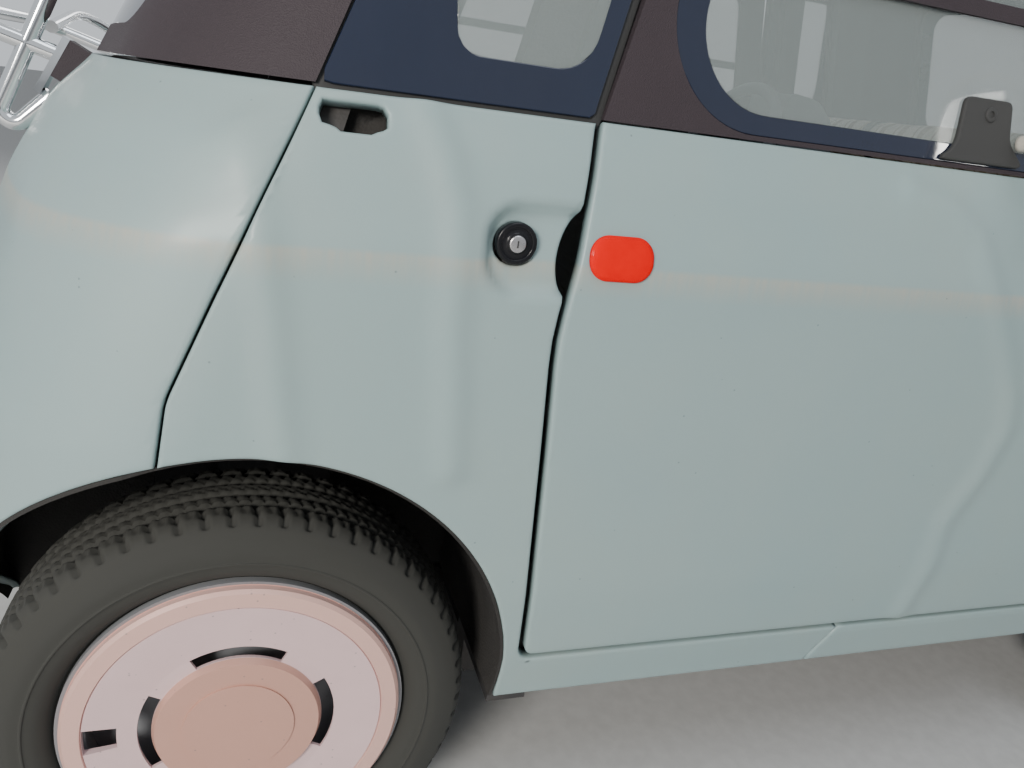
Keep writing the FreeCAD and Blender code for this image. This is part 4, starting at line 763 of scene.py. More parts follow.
@dataclass(frozen=True)
class Finish:
    """A surface finish: base colour, broken colour, dust, grain and gloss."""

    name: str
    colour: Colour
    broken: Colour
    broken_amount: float
    patch_scale: float
    dust: float = 0.0
    dust_colour: Colour = (0.36, 0.33, 0.28)
    dust_low: float = 0.9
    specks: float = 0.0
    grain_scale: float = 0.0
    grain_depth: float = 0.0003
    rough: float = 0.5
    rough_change: float = 0.12
    metal: float = 0.0
    coat: float = 0.0
    coat_rough: float = 0.1
    specular: float = 0.5
    sheen: float = 0.0
    transmission: float = 0.0
    clear_to_light: float = 0.0

    def material(self) -> bpy.types.Material:
        """The finish's material, made on first use."""
        existing = bpy.data.materials.get(self.name)
        if existing:
            return existing
        material = bpy.data.materials.new(self.name)
        material.use_nodes = True
        material.node_tree.nodes.clear()
        t = Tree(material.node_tree)
        shader = t.add("BsdfPrincipled")
        mottle = self.effect(t, Effect.MOTTLE, Scale=self.patch_scale)
        colour = t.mix(t.times(mottle, self.broken_amount), rgba(self.colour), rgba(self.broken))
        colour = self.pattern(t, colour)
        change = self.rough_change / 2
        rough = t.span(mottle, 0.0, 1.0, self.rough - change, self.rough + change)
        if self.specks:
            specks = self.effect(t, Effect.SPECKS, Scale=150.0, Share=self.specks)
            colour = t.mix(t.times(specks, 0.55), colour, rgba(tuple(c * 0.3 for c in self.colour)))
        if self.dust:
            dust = self.effect(t, Effect.DUST, Amount=self.dust, Low=self.dust_low)
            colour = t.mix(dust, colour, rgba(self.dust_colour))
            rough = t.math("MINIMUM", t.math("ADD", rough, t.times(dust, 0.6)), 0.95)
        t.tree.links.new(colour, shader.inputs["Base Color"])
        t.tree.links.new(rough, shader.inputs["Roughness"])
        height = self.relief(t)
        if height is not None:
            bump = t.add("Bump", {"Height": height, "Strength": 1.0, "Distance": self.grain_depth})
            t.tree.links.new(bump.outputs[0], shader.inputs["Normal"])
        for socket, value in {"Metallic": self.metal, "Coat Weight": self.coat,
                              "Coat Roughness": self.coat_rough, "Specular IOR Level": self.specular,
                              "Sheen Weight": self.sheen, "Transmission Weight": self.transmission}.items():
            shader.inputs[socket].default_value = value
        if self.clear_to_light:
            shadow = t.add("LightPath").outputs["Is Shadow Ray"]
            alpha = t.span(shadow, 0.0, 1.0, 1.0, 1.0 - self.clear_to_light)
            t.tree.links.new(alpha, shader.inputs["Alpha"])
        t.add("OutputMaterial", {"Surface": shader.outputs[0]})
        return material

    @staticmethod
    def effect(t: Tree, effect: Effect, **values: float) -> bpy.types.NodeSocket:
        """Output of a shared effect with this finish's values."""
        node = t.add("Group", node_tree=effect.group())
        for key, value in values.items():
            node.inputs[key].default_value = value
        return node.outputs[0]

    def relief(self, t: Tree) -> Optional[bpy.types.NodeSocket]:
        """Height that the bump follows."""
        return self.effect(t, Effect.GRAIN, Scale=self.grain_scale) if self.grain_scale else None

    def pattern(self, t: Tree, colour: bpy.types.NodeSocket) -> bpy.types.NodeSocket:
        """Colour with the finish's own pattern; a plain finish adds none."""
        return colour


@dataclass(frozen=True)
class PanelPaint(Finish):
    """Body paint with the pale tide line that rain leaves under the shoulder crease."""

    line_height: float = 0.858
    line_colour: Colour = (0.44, 0.41, 0.34)
    line_strength: float = 0.62

    def pattern(self, t: Tree, colour: bpy.types.NodeSocket) -> bpy.types.NodeSocket:
        """Beige film in a narrow band along the crease, broken into short runs."""
        place = t.place()
        away = t.math("SUBTRACT", t.part(place, 2), self.line_height)
        over = t.span(away, 0.0, 0.005, 1.0, 0.0)
        under = t.span(away, -0.030, -0.002)
        runs = t.runs(place, (170.0, 170.0, 5.0), 4.0)
        band = t.times(t.times(over, under), t.span(runs, 0.2, 0.7, 0.3, 1.0))
        return t.mix(t.times(band, self.line_strength), colour, rgba(self.line_colour))


@dataclass(frozen=True)
class Cloth(Finish):
    """Woven cloth, with a broad and a narrow stripe in each pitch when it is set."""

    stripe_pitch: float = 0.0
    stripe: Colour = (0.7, 0.6, 0.45)
    thread_scale: float = 210.0

    def relief(self, t: Tree) -> Optional[bpy.types.NodeSocket]:
        """Threads over and under: sum of three waves across each other."""
        place = t.place()
        one, two, three = (t.add("TexWave", {"Vector": place, "Scale": self.thread_scale},
                                 bands_direction=axis).outputs[1] for axis in "XYZ")
        return t.math("ADD", t.math("ADD", one, two), three)

    def pattern(self, t: Tree, colour: bpy.types.NodeSocket) -> bpy.types.NodeSocket:
        """Stripes across the width, with soft woven edges."""
        if not self.stripe_pitch:
            return colour
        across = t.math("ADD", t.part(t.place(), 1), 5.0)
        phase = t.math("FRACT", t.math("DIVIDE", across, self.stripe_pitch))
        broad = t.times(t.span(phase, 0.30, 0.34), t.span(phase, 0.58, 0.62, 1.0, 0.0))
        narrow = t.times(t.span(phase, 0.76, 0.78), t.span(phase, 0.84, 0.86, 1.0, 0.0))
        return t.mix(t.math("MAXIMUM", broad, narrow), colour, rgba(self.stripe))


@dataclass(frozen=True)
class WheelPaint(Finish):
    """Wheel with a beige cover ring, a silver-lilac disc inside it and a plain steel rim outside. The
    cover's two tones are its own paint; the reddish tint in the ring, disc and boss is a painted reflection
    of the ground.
    """

    ring: Colour = (0.71, 0.44, 0.385)
    boss: Colour = (0.57, 0.315, 0.250)
    rim: Colour = (0.26, 0.27, 0.29)
    boss_edge: float = 0.0955
    disc_edge: float = 0.1672
    ring_edge: float = 0.1908
    cover_y: tuple[float, float] = (0.6535, 0.6525)
    blend: float = 0.0004

    def pattern(self, t: Tree, colour: bpy.types.NodeSocket) -> bpy.types.NodeSocket:
        """Colour chosen by the distance from the wheel's axle in side view."""
        place = t.add("SeparateXYZ", {0: t.place()})
        along = t.math("SUBTRACT", t.math("ABSOLUTE", place.outputs[0]), AXLE_X)
        above = t.math("SUBTRACT", place.outputs[2], AXLE_Z)
        radius = t.math("SQRT", t.math("ADD", t.times(along, along), t.times(above, above)))
        out = t.math("ABSOLUTE", place.outputs[1])
        colour = t.mix(t.span(radius, self.disc_edge, self.disc_edge + self.blend), colour, rgba(self.ring))
        colour = t.mix(t.span(radius, self.boss_edge, self.boss_edge - self.blend), colour, rgba(self.boss))
        outside = t.math("MAXIMUM", t.span(radius, self.ring_edge, self.ring_edge + self.blend),
                         t.span(out, *self.cover_y))
        return t.mix(outside, colour, rgba(self.rim))


PAINT = PanelPaint("pale_green_paint", (0.275, 0.380, 0.395), (0.325, 0.415, 0.400), 0.5, 2.2, dust=0.12,
                   dust_colour=(0.42, 0.40, 0.32), specks=0.012, rough=0.46, rough_change=0.10, coat=0.15,
                   coat_rough=0.20, grain_scale=420.0, grain_depth=0.00004)
TRIM = Finish("brown_black_grained_trim", (0.034, 0.025, 0.030), (0.048, 0.037, 0.043), 0.5, 6.0, dust=0.08,
              dust_colour=(0.10, 0.085, 0.09), grain_scale=650.0, grain_depth=0.0004, rough=0.62,
              specular=0.3)
LINER = Finish("liner_plastic", (0.012, 0.011, 0.011), (0.03, 0.028, 0.026), 0.5, 7.0, dust=0.30,
               dust_colour=(0.09, 0.08, 0.07), grain_scale=300.0, grain_depth=0.0005, rough=0.75)
SEAL = Finish("seal_rubber", (0.010, 0.010, 0.011), (0.025, 0.024, 0.024), 0.5, 9.0, dust=0.12,
              grain_scale=900.0, grain_depth=0.0001, rough=0.5)
FRIT = Finish("painted_glass_edge", (0.007, 0.012, 0.032), (0.010, 0.017, 0.042), 0.4, 5.0, dust=0.02,
              rough=0.06, rough_change=0.03, specular=0.6)
GLASS = Finish("window_glass", (0.90, 0.94, 0.935), (0.87, 0.92, 0.91), 0.3, 3.0, rough=0.012,
               rough_change=0.02, specular=0.15, transmission=1.0, clear_to_light=0.85)
MARKER_RED = Finish("red_marker_lens", (0.86, 0.0, 0.0), (0.66, 0.0, 0.0), 0.4, 30.0, rough=0.35,
                    specular=0.03, coat=0.06, coat_rough=0.04)
MIRROR_GLASS = Finish("mirror_glass", (0.82, 0.84, 0.85), (0.74, 0.76, 0.78), 0.3, 12.0, dust=0.04,
                      rough=0.02, rough_change=0.02, metal=1.0)
MIRROR_SHELL = Finish("mirror_shell_plastic", (0.60, 0.57, 0.51), (0.52, 0.49, 0.43), 0.4, 14.0, dust=0.10,
                      rough=0.35, grain_scale=600.0, grain_depth=0.00008)
LAMP_RED = Finish("red_lamp_lens", (0.45, 0.006, 0.008), (0.25, 0.003, 0.004), 0.5, 40.0, rough=0.1,
                  coat=1.0, coat_rough=0.03)
LAMP_CLEAR = Finish("clear_lamp_lens", (0.78, 0.80, 0.81), (0.6, 0.62, 0.64), 0.5, 60.0, rough=0.06,
                    coat=1.0, coat_rough=0.02)
STEEL = Finish("painted_frame_steel", (0.030, 0.031, 0.034), (0.055, 0.05, 0.046), 0.5, 9.0, dust=0.35,
               dust_colour=(0.12, 0.10, 0.085), grain_scale=260.0, grain_depth=0.0002, rough=0.5)
BLACK = Finish("black_plastic", (0.010, 0.010, 0.011), (0.022, 0.021, 0.021), 0.4, 12.0, dust=0.12,
               dust_colour=(0.2, 0.19, 0.17), grain_scale=600.0, grain_depth=0.0002, rough=0.42)
UNDERFLOOR = Finish("floor_plastic", (0.022, 0.022, 0.023), (0.04, 0.038, 0.035), 0.5, 8.0, dust=0.3,
                    dust_colour=(0.13, 0.11, 0.10), grain_scale=350.0, grain_depth=0.0004, rough=0.7)
BATTERY = Finish("battery_case", (0.07, 0.075, 0.08), (0.11, 0.11, 0.11), 0.5, 7.0, dust=0.3,
                 grain_scale=300.0, grain_depth=0.0002, rough=0.5, metal=0.2)
ALLOY = Finish("cast_alloy", (0.45, 0.46, 0.47), (0.33, 0.33, 0.33), 0.5, 9.0, dust=0.15,
               grain_scale=420.0, grain_depth=0.0003, rough=0.45, metal=0.9)
KEY_METAL = Finish("lock_barrel_metal", (0.62, 0.60, 0.60), (0.42, 0.40, 0.42), 0.5, 160.0, rough=0.28,
                   metal=1.0, grain_scale=1500.0, grain_depth=0.00005)
CHROME = Finish("chrome_tube", (0.78, 0.79, 0.80), (0.62, 0.63, 0.64), 0.35, 40.0, dust=0.04, rough=0.10,
                rough_change=0.08, metal=1.0)
DASH = Finish("blue_grey_dash_plastic", (0.13, 0.15, 0.18), (0.18, 0.20, 0.225), 0.4, 6.0, dust=0.2,
              grain_scale=520.0, grain_depth=0.0003, rough=0.6)
SEAT = Cloth("seat_cloth", (0.15, 0.145, 0.14), (0.21, 0.20, 0.19), 0.4, 20.0, rough=0.9, sheen=0.3,
             grain_depth=0.0004)
STRIPED = Cloth("striped_dash_cloth", (0.66, 0.60, 0.50), (0.58, 0.51, 0.41), 0.4, 16.0, rough=0.88,
                sheen=0.2, grain_depth=0.0004, stripe_pitch=0.06, stripe=(0.42, 0.33, 0.22))
PLATE = Finish("blank_plate", (0.74, 0.74, 0.72), (0.62, 0.62, 0.60), 0.4, 20.0, dust=0.2, rough=0.35,
               grain_scale=700.0, grain_depth=0.00005)
RUBBER = Finish("tyre_rubber", (0.013, 0.008, 0.009), (0.025, 0.016, 0.017), 0.6, 16.0, dust=0.04,
                dust_colour=(0.055, 0.038, 0.034), dust_low=0.2, specks=0.02, grain_scale=380.0,
                grain_depth=0.00025, rough=0.78, specular=0.08)
LOCK_BLACK = Finish("lock_bezel_black", (0.005, 0.005, 0.007), (0.009, 0.009, 0.011), 0.4, 60.0, rough=0.24,
                    specular=0.35, grain_scale=900.0, grain_depth=0.00003)
# Two-tone cover paint; the reddish tint of its disc, ring and boss is a painted reflection of the ground.
WHEEL = WheelPaint("wheel_with_cover", (0.74, 0.54, 0.55), (0.64, 0.46, 0.47), 0.5, 11.0, dust=0.06,
                   specks=0.05, rough=0.40, coat=0.15, metal=0.10, grain_scale=500.0, grain_depth=0.00004)

CAD_FINISHES: tuple[tuple[Finish, tuple[str, ...]], ...] = (
    (PAINT, ("roof_panel",)),
    (TRIM, ("rear_window_surround", "front_window_surround", "door_right_frame", "door_left_frame",
            "door_hinges", "rack_pads")),
    (LINER, ("wheel_arch_liners", "door_right_lining", "door_left_lining")),
    (GLASS, ("roof_glass",)),
    (SEAL, ("window_seals",)),
    (STEEL, ("space_frame", "chassis_rails", "front_subframe", "rear_axle", "knuckle_right", "knuckle_left",
             "steering_rack", "steering_column")),
    (UNDERFLOOR, ("floor_pan",)),
    (BATTERY, ("battery_pack",)),
    (ALLOY, ("drive_motor",)),
    (DASH, ("dashboard", "steering_wheel")),
    (PLATE, ("number_plates",)),
    (CHROME, ("luggage_rack",)),
    (WHEEL, ("wheel_front_right", "wheel_front_left", "wheel_rear_right", "wheel_rear_left")),
)


def dress_cad_nodes(nodes: dict[str, bpy.types.Object]) -> None:
    """Give every CAD node that stays in view its finish."""
    for finish, names in CAD_FINISHES:
        for name in names:
            node = nodes[name]
            if not node.material_slots:
                node.data.materials.append(finish.material())
            for slot in node.material_slots:
                slot.material = finish.material()


# ---------------------------------------------------------------- painted panels


def metres(corners: Sequence[Corner]) -> list[Corner]:
    """Corners given in millimetres, in metres."""
    return [(a / 1000, b / 1000, radius / 1000) for a, b, radius in corners]


def side_loop(corners: Sequence[Corner], step: float = 0.008) -> Array:
    """Outline on the right side's surface from side-view corners in millimetres."""
    return FORM.side_outline(rounded_outline(metres(corners), step))


def box_corners(a: tuple[float, float], b: tuple[float, float], radius: float) -> list[Corner]:
    """Corners of an upright rectangle between two values of a and two of b."""
    return [(a[0], b[0], radius), (a[1], b[0], radius), (a[1], b[1], radius), (a[0], b[1], radius)]


def arc(a: float, b: float, radius: float, first: float, last: float, count: int) -> list[Corner]:
    """Plain corners along a circle from one angle to another, in degrees."""
    angles = np.radians(np.linspace(first, last, count))
    return [(a + radius * math.cos(t), b + radius * math.sin(t), 0.0) for t in angles]


def circle(a: float, b: float, radius: float, count: int = 72) -> Array:
    """Closed circle in metres from a centre and radius in millimetres."""
    return np.array(arc(a, b, radius, 0, 360 - 360 / count, count))[:, :2] / 1000


def line_distance(points: Array, line: Array) -> Array:
    """Distance from points to an open line of straight runs."""
    along = line[1:] - line[:-1]
    t = np.clip(((points[:, None] - line[:-1]) * along).sum(2) / (along ** 2).sum(1), 0, 1)
    return np.linalg.norm(points[:, None] - (line[:-1] + t[..., None] * along), axis=2).min(1)


@dataclass(frozen=True)
class Ridge:
    """Soft fold pressed into a panel: a rounded crest along a line."""

    line: tuple[tuple[float, float], ...]
    height: float = 0.0045
    width: float = 0.019
    on_end: bool = False

    def lift(self, points: Array) -> Array:
        """Height at places on the side or end surface: height times exp(-(distance / width)²)."""
        line = np.array(self.line) / 1000
        if self.on_end:
            line = np.stack([FORM.end_run(-line[:, 0], line[:, 1]), line[:, 1]], 1)
            points = np.abs(points)
        else:
            line = FORM.side_outline(line)
        return self.height * np.exp(-(line_distance(points, line) / self.width) ** 2)


@dataclass(frozen=True)
class Pocket:
    """Recess with a soft wall, inside an outline in side view."""

    corners: tuple[Corner, ...]
    depth: float = 0.013
    wall: float = 0.014

    def lift(self, points: Array) -> Array:
        """Depth, taken up over the wall by a smooth step of the distance from the outline."""
        near, _, inside = outline_distance(points, [side_loop(self.corners)])
        return np.where(inside, -self.depth * smooth_step(near, 0, self.wall), 0)


def folds(*features: object) -> Feature:
    """Sum of the lifts of several ridges and pockets."""
    return lambda u, v: sum(feature.lift(np.stack([u, v], 1)) for feature in features)


REAR_FOLD = Ridge(((-868, 958), (-856, 919), (-852, 868), (-840, 792), (-831, 698), (-824, 648)))
END_FOLD = Ridge(REAR_FOLD.line, on_end=True)
QUARTER_FOLD = Ridge(((-703, 997), (-684, 954), (-668, 904), (-666, 849), (-666, 791), (-659, 730),
                      (-652, 632)))
DOOR_FOLD = Ridge(((-114, 970), (-53, 952), (-10, 925), (27, 860), (78, 786), (115, 723), (128, 678),
                   (113, 608), (78, 529), (81, 462), (67, 375)))
LOCK_DISH = Pocket(((-643, 822, 42), (-520, 822, 0), (-520, 921, 0), (-643, 921, 42)))
SPLIT = [(-804, 1000, 0), (-889, 807, 200), (-932, 705, 60)]
END_SPLIT = [(-806, 1000, 0), (-892, 807, 200), (-935, 705, 60), (-944, 637, 0)]
ARCH = (-865, 335, 312)
FINGER = arc(-481.4, 862, 77.6, 207.2, 136.9, 20)
FLAP_HOLE = ((-801, 971, 2), (-787, 969, 1.5), (-783, 964.5, 2), (-751, 964.5, 2), (-747, 968.5, 1.5),
             (-738, 969.5, 2), (-738, 984, 4), (-743, 990, 3), (-801, 990, 3))
LOCK_AT = (-606.0, 877.0)
LOCK_HOLE = 22.2
LAMP_AT = (470, 640)
LAMP_HOLE = 87.0
HINGE_HEIGHTS = (560, 740)
OPEN_SILL, OPEN_SILL_X = 286, -1.1771
PANEL = ShellSpec()
BOTH_SIDES = (("right", Place.AS_DRAWN), ("left", Place.TURNED))


@dataclass(frozen=True)
class Panels:
    """Painted panels below the windows: four quarters, two ends and two door skins."""

    fine: float = 0.0056
    door: float = 0.0066
    middling: float = 0.0095
    coarse: float = 0.0135

    def build(self) -> None:
        """Make all eight panels."""
        self.quarter("side_panel_rear_right", Place.AS_DRAWN, self.fine, True, True)
        self.quarter("side_panel_front_left", Place.TURNED, self.coarse, True, False)
        self.quarter("side_panel_front_right", Place.MIRROR_ENDS, self.coarse, False, False)
        self.quarter("side_panel_rear_left", Place.MIRROR_SIDES, self.coarse, False, False)
        self.end("rear_end_panel", Place.AS_DRAWN, self.middling)
        self.end("front_end_panel", Place.TURNED, self.coarse)
        self.door_skin("right", Place.AS_DRAWN, self.door)
        self.door_skin("left", Place.TURNED, self.coarse)

    @staticmethod
    def quarter(node: str, place: Place, spacing: float, locked: bool, flap: bool) -> None:
        """One quarter panel over its wheel arch, with its part of the sill.

        Args:
            node: CAD node that it stands for.
            place: where the rear right shape goes.
            spacing: cell size.
            locked: whether it has the lock, its dish, the finger bite and the long part of the sill;
                otherwise it has the openings of the hinges.
            flap: whether it has the empty flap opening.
        """
        joint = (-70, -40) if locked else (67, 37)
        corners = SPLIT + arc(*ARCH, 104.1, 0, 56) + [
            (-553, OPEN_SILL, 0), (joint[0], OPEN_SILL, 0), (joint[1], 353, 0), (-534, 353, 20),
            (-557, 780, 300), *(FINGER if locked else []), (-526, 1000, 0)]
        loops = [side_loop(corners)]
        features = [REAR_FOLD, QUARTER_FOLD]
        if locked:
            features.append(LOCK_DISH)
            loops.append(FORM.side_outline(circle(*LOCK_AT, LOCK_HOLE)))
        else:
            for height in HINGE_HEIGHTS:
                low, leaf_low, leaf_high, high = (height + way for way in (-46, -25.3, 25.3, 46))
                loops.append(side_loop([
                    (-614, low, 2), (-572, low, 2), (-572, leaf_low, 2), (-532, leaf_low, 2),
                    (-532, leaf_high, 2), (-572, leaf_high, 2), (-572, high, 2), (-614, high, 2)], 0.004))
        if flap:
            loops.append(side_loop(FLAP_HOLE, 0.002))
        shape = shell(loops, spacing, FORM.side_point, PANEL, folds(*features))
        make_piece(node + "_skin", shape, PAINT, "body", node, place)

    @staticmethod
    def end(node: str, place: Place, spacing: float) -> None:
        """One end panel, from split line to split line, with two lamp holes."""
        split = rounded_outline(metres(END_SPLIT + arc(*ARCH, 104.6, 180, 40) + [
            (-1177, OPEN_SILL, 0), (-1270, OPEN_SILL, 0), (-1270, 1000, 0)]), 0.006)
        side = split[split[:, 0] > OPEN_SILL_X]
        side = side[np.argsort(-side[:, 1], kind="stable")]
        edge = np.stack([FORM.end_run(-side[:, 0], side[:, 1]), side[:, 1]], 1)
        loop = densified(np.concatenate([edge[::-1] * [-1, 1], edge])[::-1], 0.008)
        loops = [loop if polygon_area(loop) > 0 else loop[::-1]]
        for sign in (-1, 1):
            loops.append(FORM.end_outline(circle(sign * LAMP_AT[0], LAMP_AT[1], LAMP_HOLE)))
        shape = shell(loops, spacing, FORM.end_point, PANEL, folds(END_FOLD))
        make_piece(node + "_skin", shape, PAINT, "body", node, place)

    @staticmethod
    def door_skin(side: str, place: Place, spacing: float) -> None:
        """Door below the window, with its two hinge leaves."""
        body, node = f"door_{side}", f"door_{side}_skin"
        loop = side_loop([(-526, 361, 12), (-549, 780, 300), (-518, 1002, 0),
                          (518, 1002, 0), (549, 780, 300), (526, 361, 12)])
        shape = shell([loop], spacing, FORM.side_point, PANEL, folds(DOOR_FOLD))
        make_piece(node + "_surface", shape, PAINT, body, node, place)
        barrel = [(0, -20), (4.5, -20), (6, -18.5), (6, 18.5), (4.5, 20), (0, 20)]
        for number, height in enumerate(HINGE_HEIGHTS):
            z = height / 1000
            shape = revolve(barrel, 28, (0.553, -0.709, z), (0.0, 0.0, 1.0))
            make_piece(f"{node}_barrel_{number}", shape, TRIM, body, place=place, sharp=40)
            shape = rounded_block((0.493, -0.7055, z - 0.0195), (0.552, -0.696, z + 0.0195), 0.0025)
            make_piece(f"{node}_leaf_{number}", shape, TRIM, body, place=place)


# ---------------------------------------------------------------- wheels and fittings


@dataclass(frozen=True)
class Tyre:
    """Road tyre of the size 155/65 R14: two ring grooves, shoulder blocks and fine cuts."""

    centre_x: float
    side: float
    name: str
    steps: int
    blocks: int = 62
    groove_depth: float = 0.0062
    ring_lines: tuple[float, float] = (0.0135, 0.0360)
    cut_lean: float = 9.0
    sipe_lean: float = 26
    tread_edge: float = 48.5
    tread_rows: int = 26
    half_profile: tuple = (
        (178.5, 50), (183, 54.3), (196.5, 54.6), (199, 60), (205, 67.5), (214, 73.5), (223, 76.0),
        (224.2, 77.3), (226.4, 77.4), (227.6, 76.6), (238, 76.8), (250, 73.6), (258, 70.3), (265, 66.8),
        (270.5, 62.2), (274.6, 56), (277, 48.5), (278.1, 38), (278.5, 20), (278.5, 0))
    inside: tuple = ((178.5, -44), (196, -47), (230, -66), (252, -62), (258, -40), (258, 40), (252, 62),
                     (230, 66), (196, 47), (178.5, 44))

    def build(self) -> None:
        """Make the tyre on its wheel's body."""
        outside = smooth_line(np.array(self.half_profile, float), 3)
        wall = outside[:len(outside) - np.count_nonzero(outside[:, 1] < self.tread_edge)]
        height = np.linspace(self.tread_edge, 0, self.tread_rows)
        crown = np.stack([np.interp(height, outside[::-1, 1], outside[::-1, 0]), height], 1)
        half = np.concatenate([wall, crown])
        profile = np.concatenate([half, half[-2::-1] * [1, -1], np.array(self.inside)])[::-1]
        centre = (self.centre_x, TRACK_Y * self.side, AXLE_Z)
        shape = revolve(profile, self.steps, centre, (0.0, self.side, 0.0), True,
                        lambda angle, row: self.tread(angle, profile[row[0]] / 1000))
        make_piece(self.name + "_rubber", shape, RUBBER, self.name.replace("tyre", "wheel"), self.name)

    def tread(self, angle: Array, rows: Array) -> Array:
        """Depth of the tread pattern: grooves round the tyre, cuts across the shoulders and narrow sipes.

        Every groove is a trapezium in section, its walls smooth steps of the distance from its line.
        """

        def groove(away: Array, floor: float, top: float) -> Array:
            """1 on a groove's floor and 0 past its wall."""
            return 1 - smooth_step(away, floor, top)

        radius, height = rows[:, 0], rows[:, 1]
        on_tread = smooth_step(radius, 0.2655, 0.2700) * (radius > 0.262)
        side = np.abs(height)
        rings = np.maximum(*(groove(np.abs(side - line), 0.0028, 0.0046) for line in self.ring_lines))
        offset = np.where(height > 0, 0.5, 0.0)
        turns = angle * self.blocks / (2 * np.pi)
        pitch = 2 * np.pi * AXLE_Z / self.blocks
        phase = (turns + offset + (side - 0.040) * self.cut_lean) % 1.0
        cut = groove(np.abs(phase - 0.5) * pitch, 0.0022, 0.0042) * smooth_step(side, 0.038, 0.041)
        phase = (turns * 2 + offset + side * self.sipe_lean) % 1.0
        sipe = groove(np.abs(phase - 0.5) * pitch / 2, 0.0006, 0.0022) * (side < 0.052) * 0.6
        return -self.groove_depth * on_tread * np.maximum(np.maximum(rings, cut), sipe)


@dataclass(frozen=True)
class Fittings:
    """Small pieces on the sides and ends: locks, red markers, flap well, mirrors and lamps."""

    mirror_centre: tuple[float, float, float] = (0.075, -0.735, 1.092)
    mirror_foot: tuple[Corner, ...] = ((-92, 1010.5, 3), (-57, 1022, 26), (-53, 1085, 9), (21, 1086, 9),
                                       (27, 1040, 20), (58, 1011, 4))
    mirror_arm: tuple[Corner, ...] = ((0.040, -0.650, 1.040), (0.050, -0.698, 1.052), (0.098, -0.735, 1.092))
    mirror_shell: tuple = ((0, 6), (64.5, 6), (65.5, 5.5), (66, 1.2), (67.5, 0), (70, 0.6), (71.6, 3),
                           (72, 9), (71, 17), (66, 27), (55, 35.5), (38, 41.5), (18, 44.5), (0, 45))
    mirror_face: tuple = ((0, 3.6), (30, 4.0), (58, 4.9), (63.6, 5.3), (64.2, 6.2), (64.2, 7.0))
    screw: tuple = ((0, -1), (3.6, -1), (3.8, -0.4), (4.0, 1.6), (7.6, 1.8), (8.6, 1.2), (9.0, 0), (9.0, -3))
    screw_at: tuple[float, float] = (-0.012, 1.0675)
    lock_y: float = -0.689
    bezel: tuple = ((0, -12.5), (20.6, -12.5), (21.4, -11), (21.4, -1.6), (20.9, -0.5), (20.0, 0.0),
                    (17.2, 0.0), (16.4, -0.4), (16.0, -1.4), (11.2, -1.9), (10.6, -1.4), (10.2, -1.0),
                    (0, -1.0))
    barrel: tuple = ((0, -2), (8.8, -2), (8.8, 1.8), (8.2, 2.6), (7.2, 2.8), (0, 2.9))
    lens_radius: float = 0.073
    lens_rise: float = 0.006
    rib_height: float = 0.0006
    rib_pitch: float = 0.0135
    well_rings: tuple = ((1.0, 0.0042), (1.0, 0.016), (0.86, 0.034), (0.3, 0.036), (0.001, 0.036))

    def build(self) -> None:
        """Make the locks and markers, the flap well, the mirrors and the lamps."""
        for side, place in BOTH_SIDES:
            self.lock(side, place)
            self.marker(side, place)
        self.flap_well()
        for side, mirrored_place, end, place in (("right", Place.AS_DRAWN, "tail", Place.AS_DRAWN),
                                                 ("left", Place.MIRROR_SIDES, "head", Place.TURNED)):
            self.mirror(side, mirrored_place)
            for sign in (-1.0, 1.0):
                self.lamp(end, sign, place)

    def lamp(self, kind: str, sign: float, place: Place) -> None:
        """Round lamp let into an end panel: a black bezel and a ribbed lens, both on the body's surface.

        The lens rises as 1 - (r / R)² and carries rings cos(2πr / pitch).
        """
        at = (sign * LAMP_AT[0], LAMP_AT[1])
        middle = FORM.end_outline(np.array([at]) / 1000)[0]
        name = f"{kind}_lamp_{'right' if sign < 0 else 'left'}"

        def ribs(u: Array, v: Array) -> Array:
            """Low dome with fine rings."""
            away = np.hypot(u - middle[0], v - middle[1])
            dome = self.lens_rise * (1 - (away / self.lens_radius) ** 2)
            return dome + self.rib_height * np.cos(2 * np.pi * away / self.rib_pitch)

        for part, radii, spacing, spec, feature, finish in (
                ("bezel", (85.5, 73), 0.0042, ShellSpec(0.002, 0.014, 0.002, -0.0015), None, BLACK),
                ("lens", (71.8,), 0.0034, ShellSpec(0.0012, 0.010, 0.0015, 0.002), ribs,
                 LAMP_RED if kind == "tail" else LAMP_CLEAR)):
            loops = [FORM.end_outline(circle(*at, radius)) for radius in radii]
            shape = shell(loops, spacing, FORM.end_point, spec, feature)
            make_piece(f"{name}_{part}", shape, finish, "body", kind + "_lamps", place)

    def mirror(self, side: str, place: Place) -> None:
        """Round mirror on an arm, with its foot over the corner of the door glass."""
        body = f"door_{side}"
        shape = shell([side_loop(self.mirror_foot, 0.004)], 0.005, FORM.side_point,
                      ShellSpec(0.0022, 0.0052, 0.002, -0.0036))
        make_piece(f"mirror_foot_{side}", shape, BLACK, body, f"door_{side}_mirror", place, 20)
        shape = tube(smooth_line(np.array(self.mirror_arm), 10), 0.0100, 20)
        make_piece(f"mirror_arm_{side}", shape, MIRROR_SHELL, body, place=place)
        for part, profile, finish in (("housing", self.mirror_shell, MIRROR_SHELL),
                                      ("face", self.mirror_face, MIRROR_GLASS)):
            shape = revolve(profile, 72, self.mirror_centre, (1.0, 0.0, 0.0))
            make_piece(f"mirror_{part}_{side}", shape, finish, body, place=place)
        screw_at = surface_inset(FORM.side_point, FORM.side_outline(np.array([self.screw_at])), -0.0040)[0]
        shape = revolve(self.screw, 40, screw_at, (0.0, -0.985, 0.17))
        make_piece(f"mirror_screw_{side}", shape, BLACK, body, place=place, sharp=50)

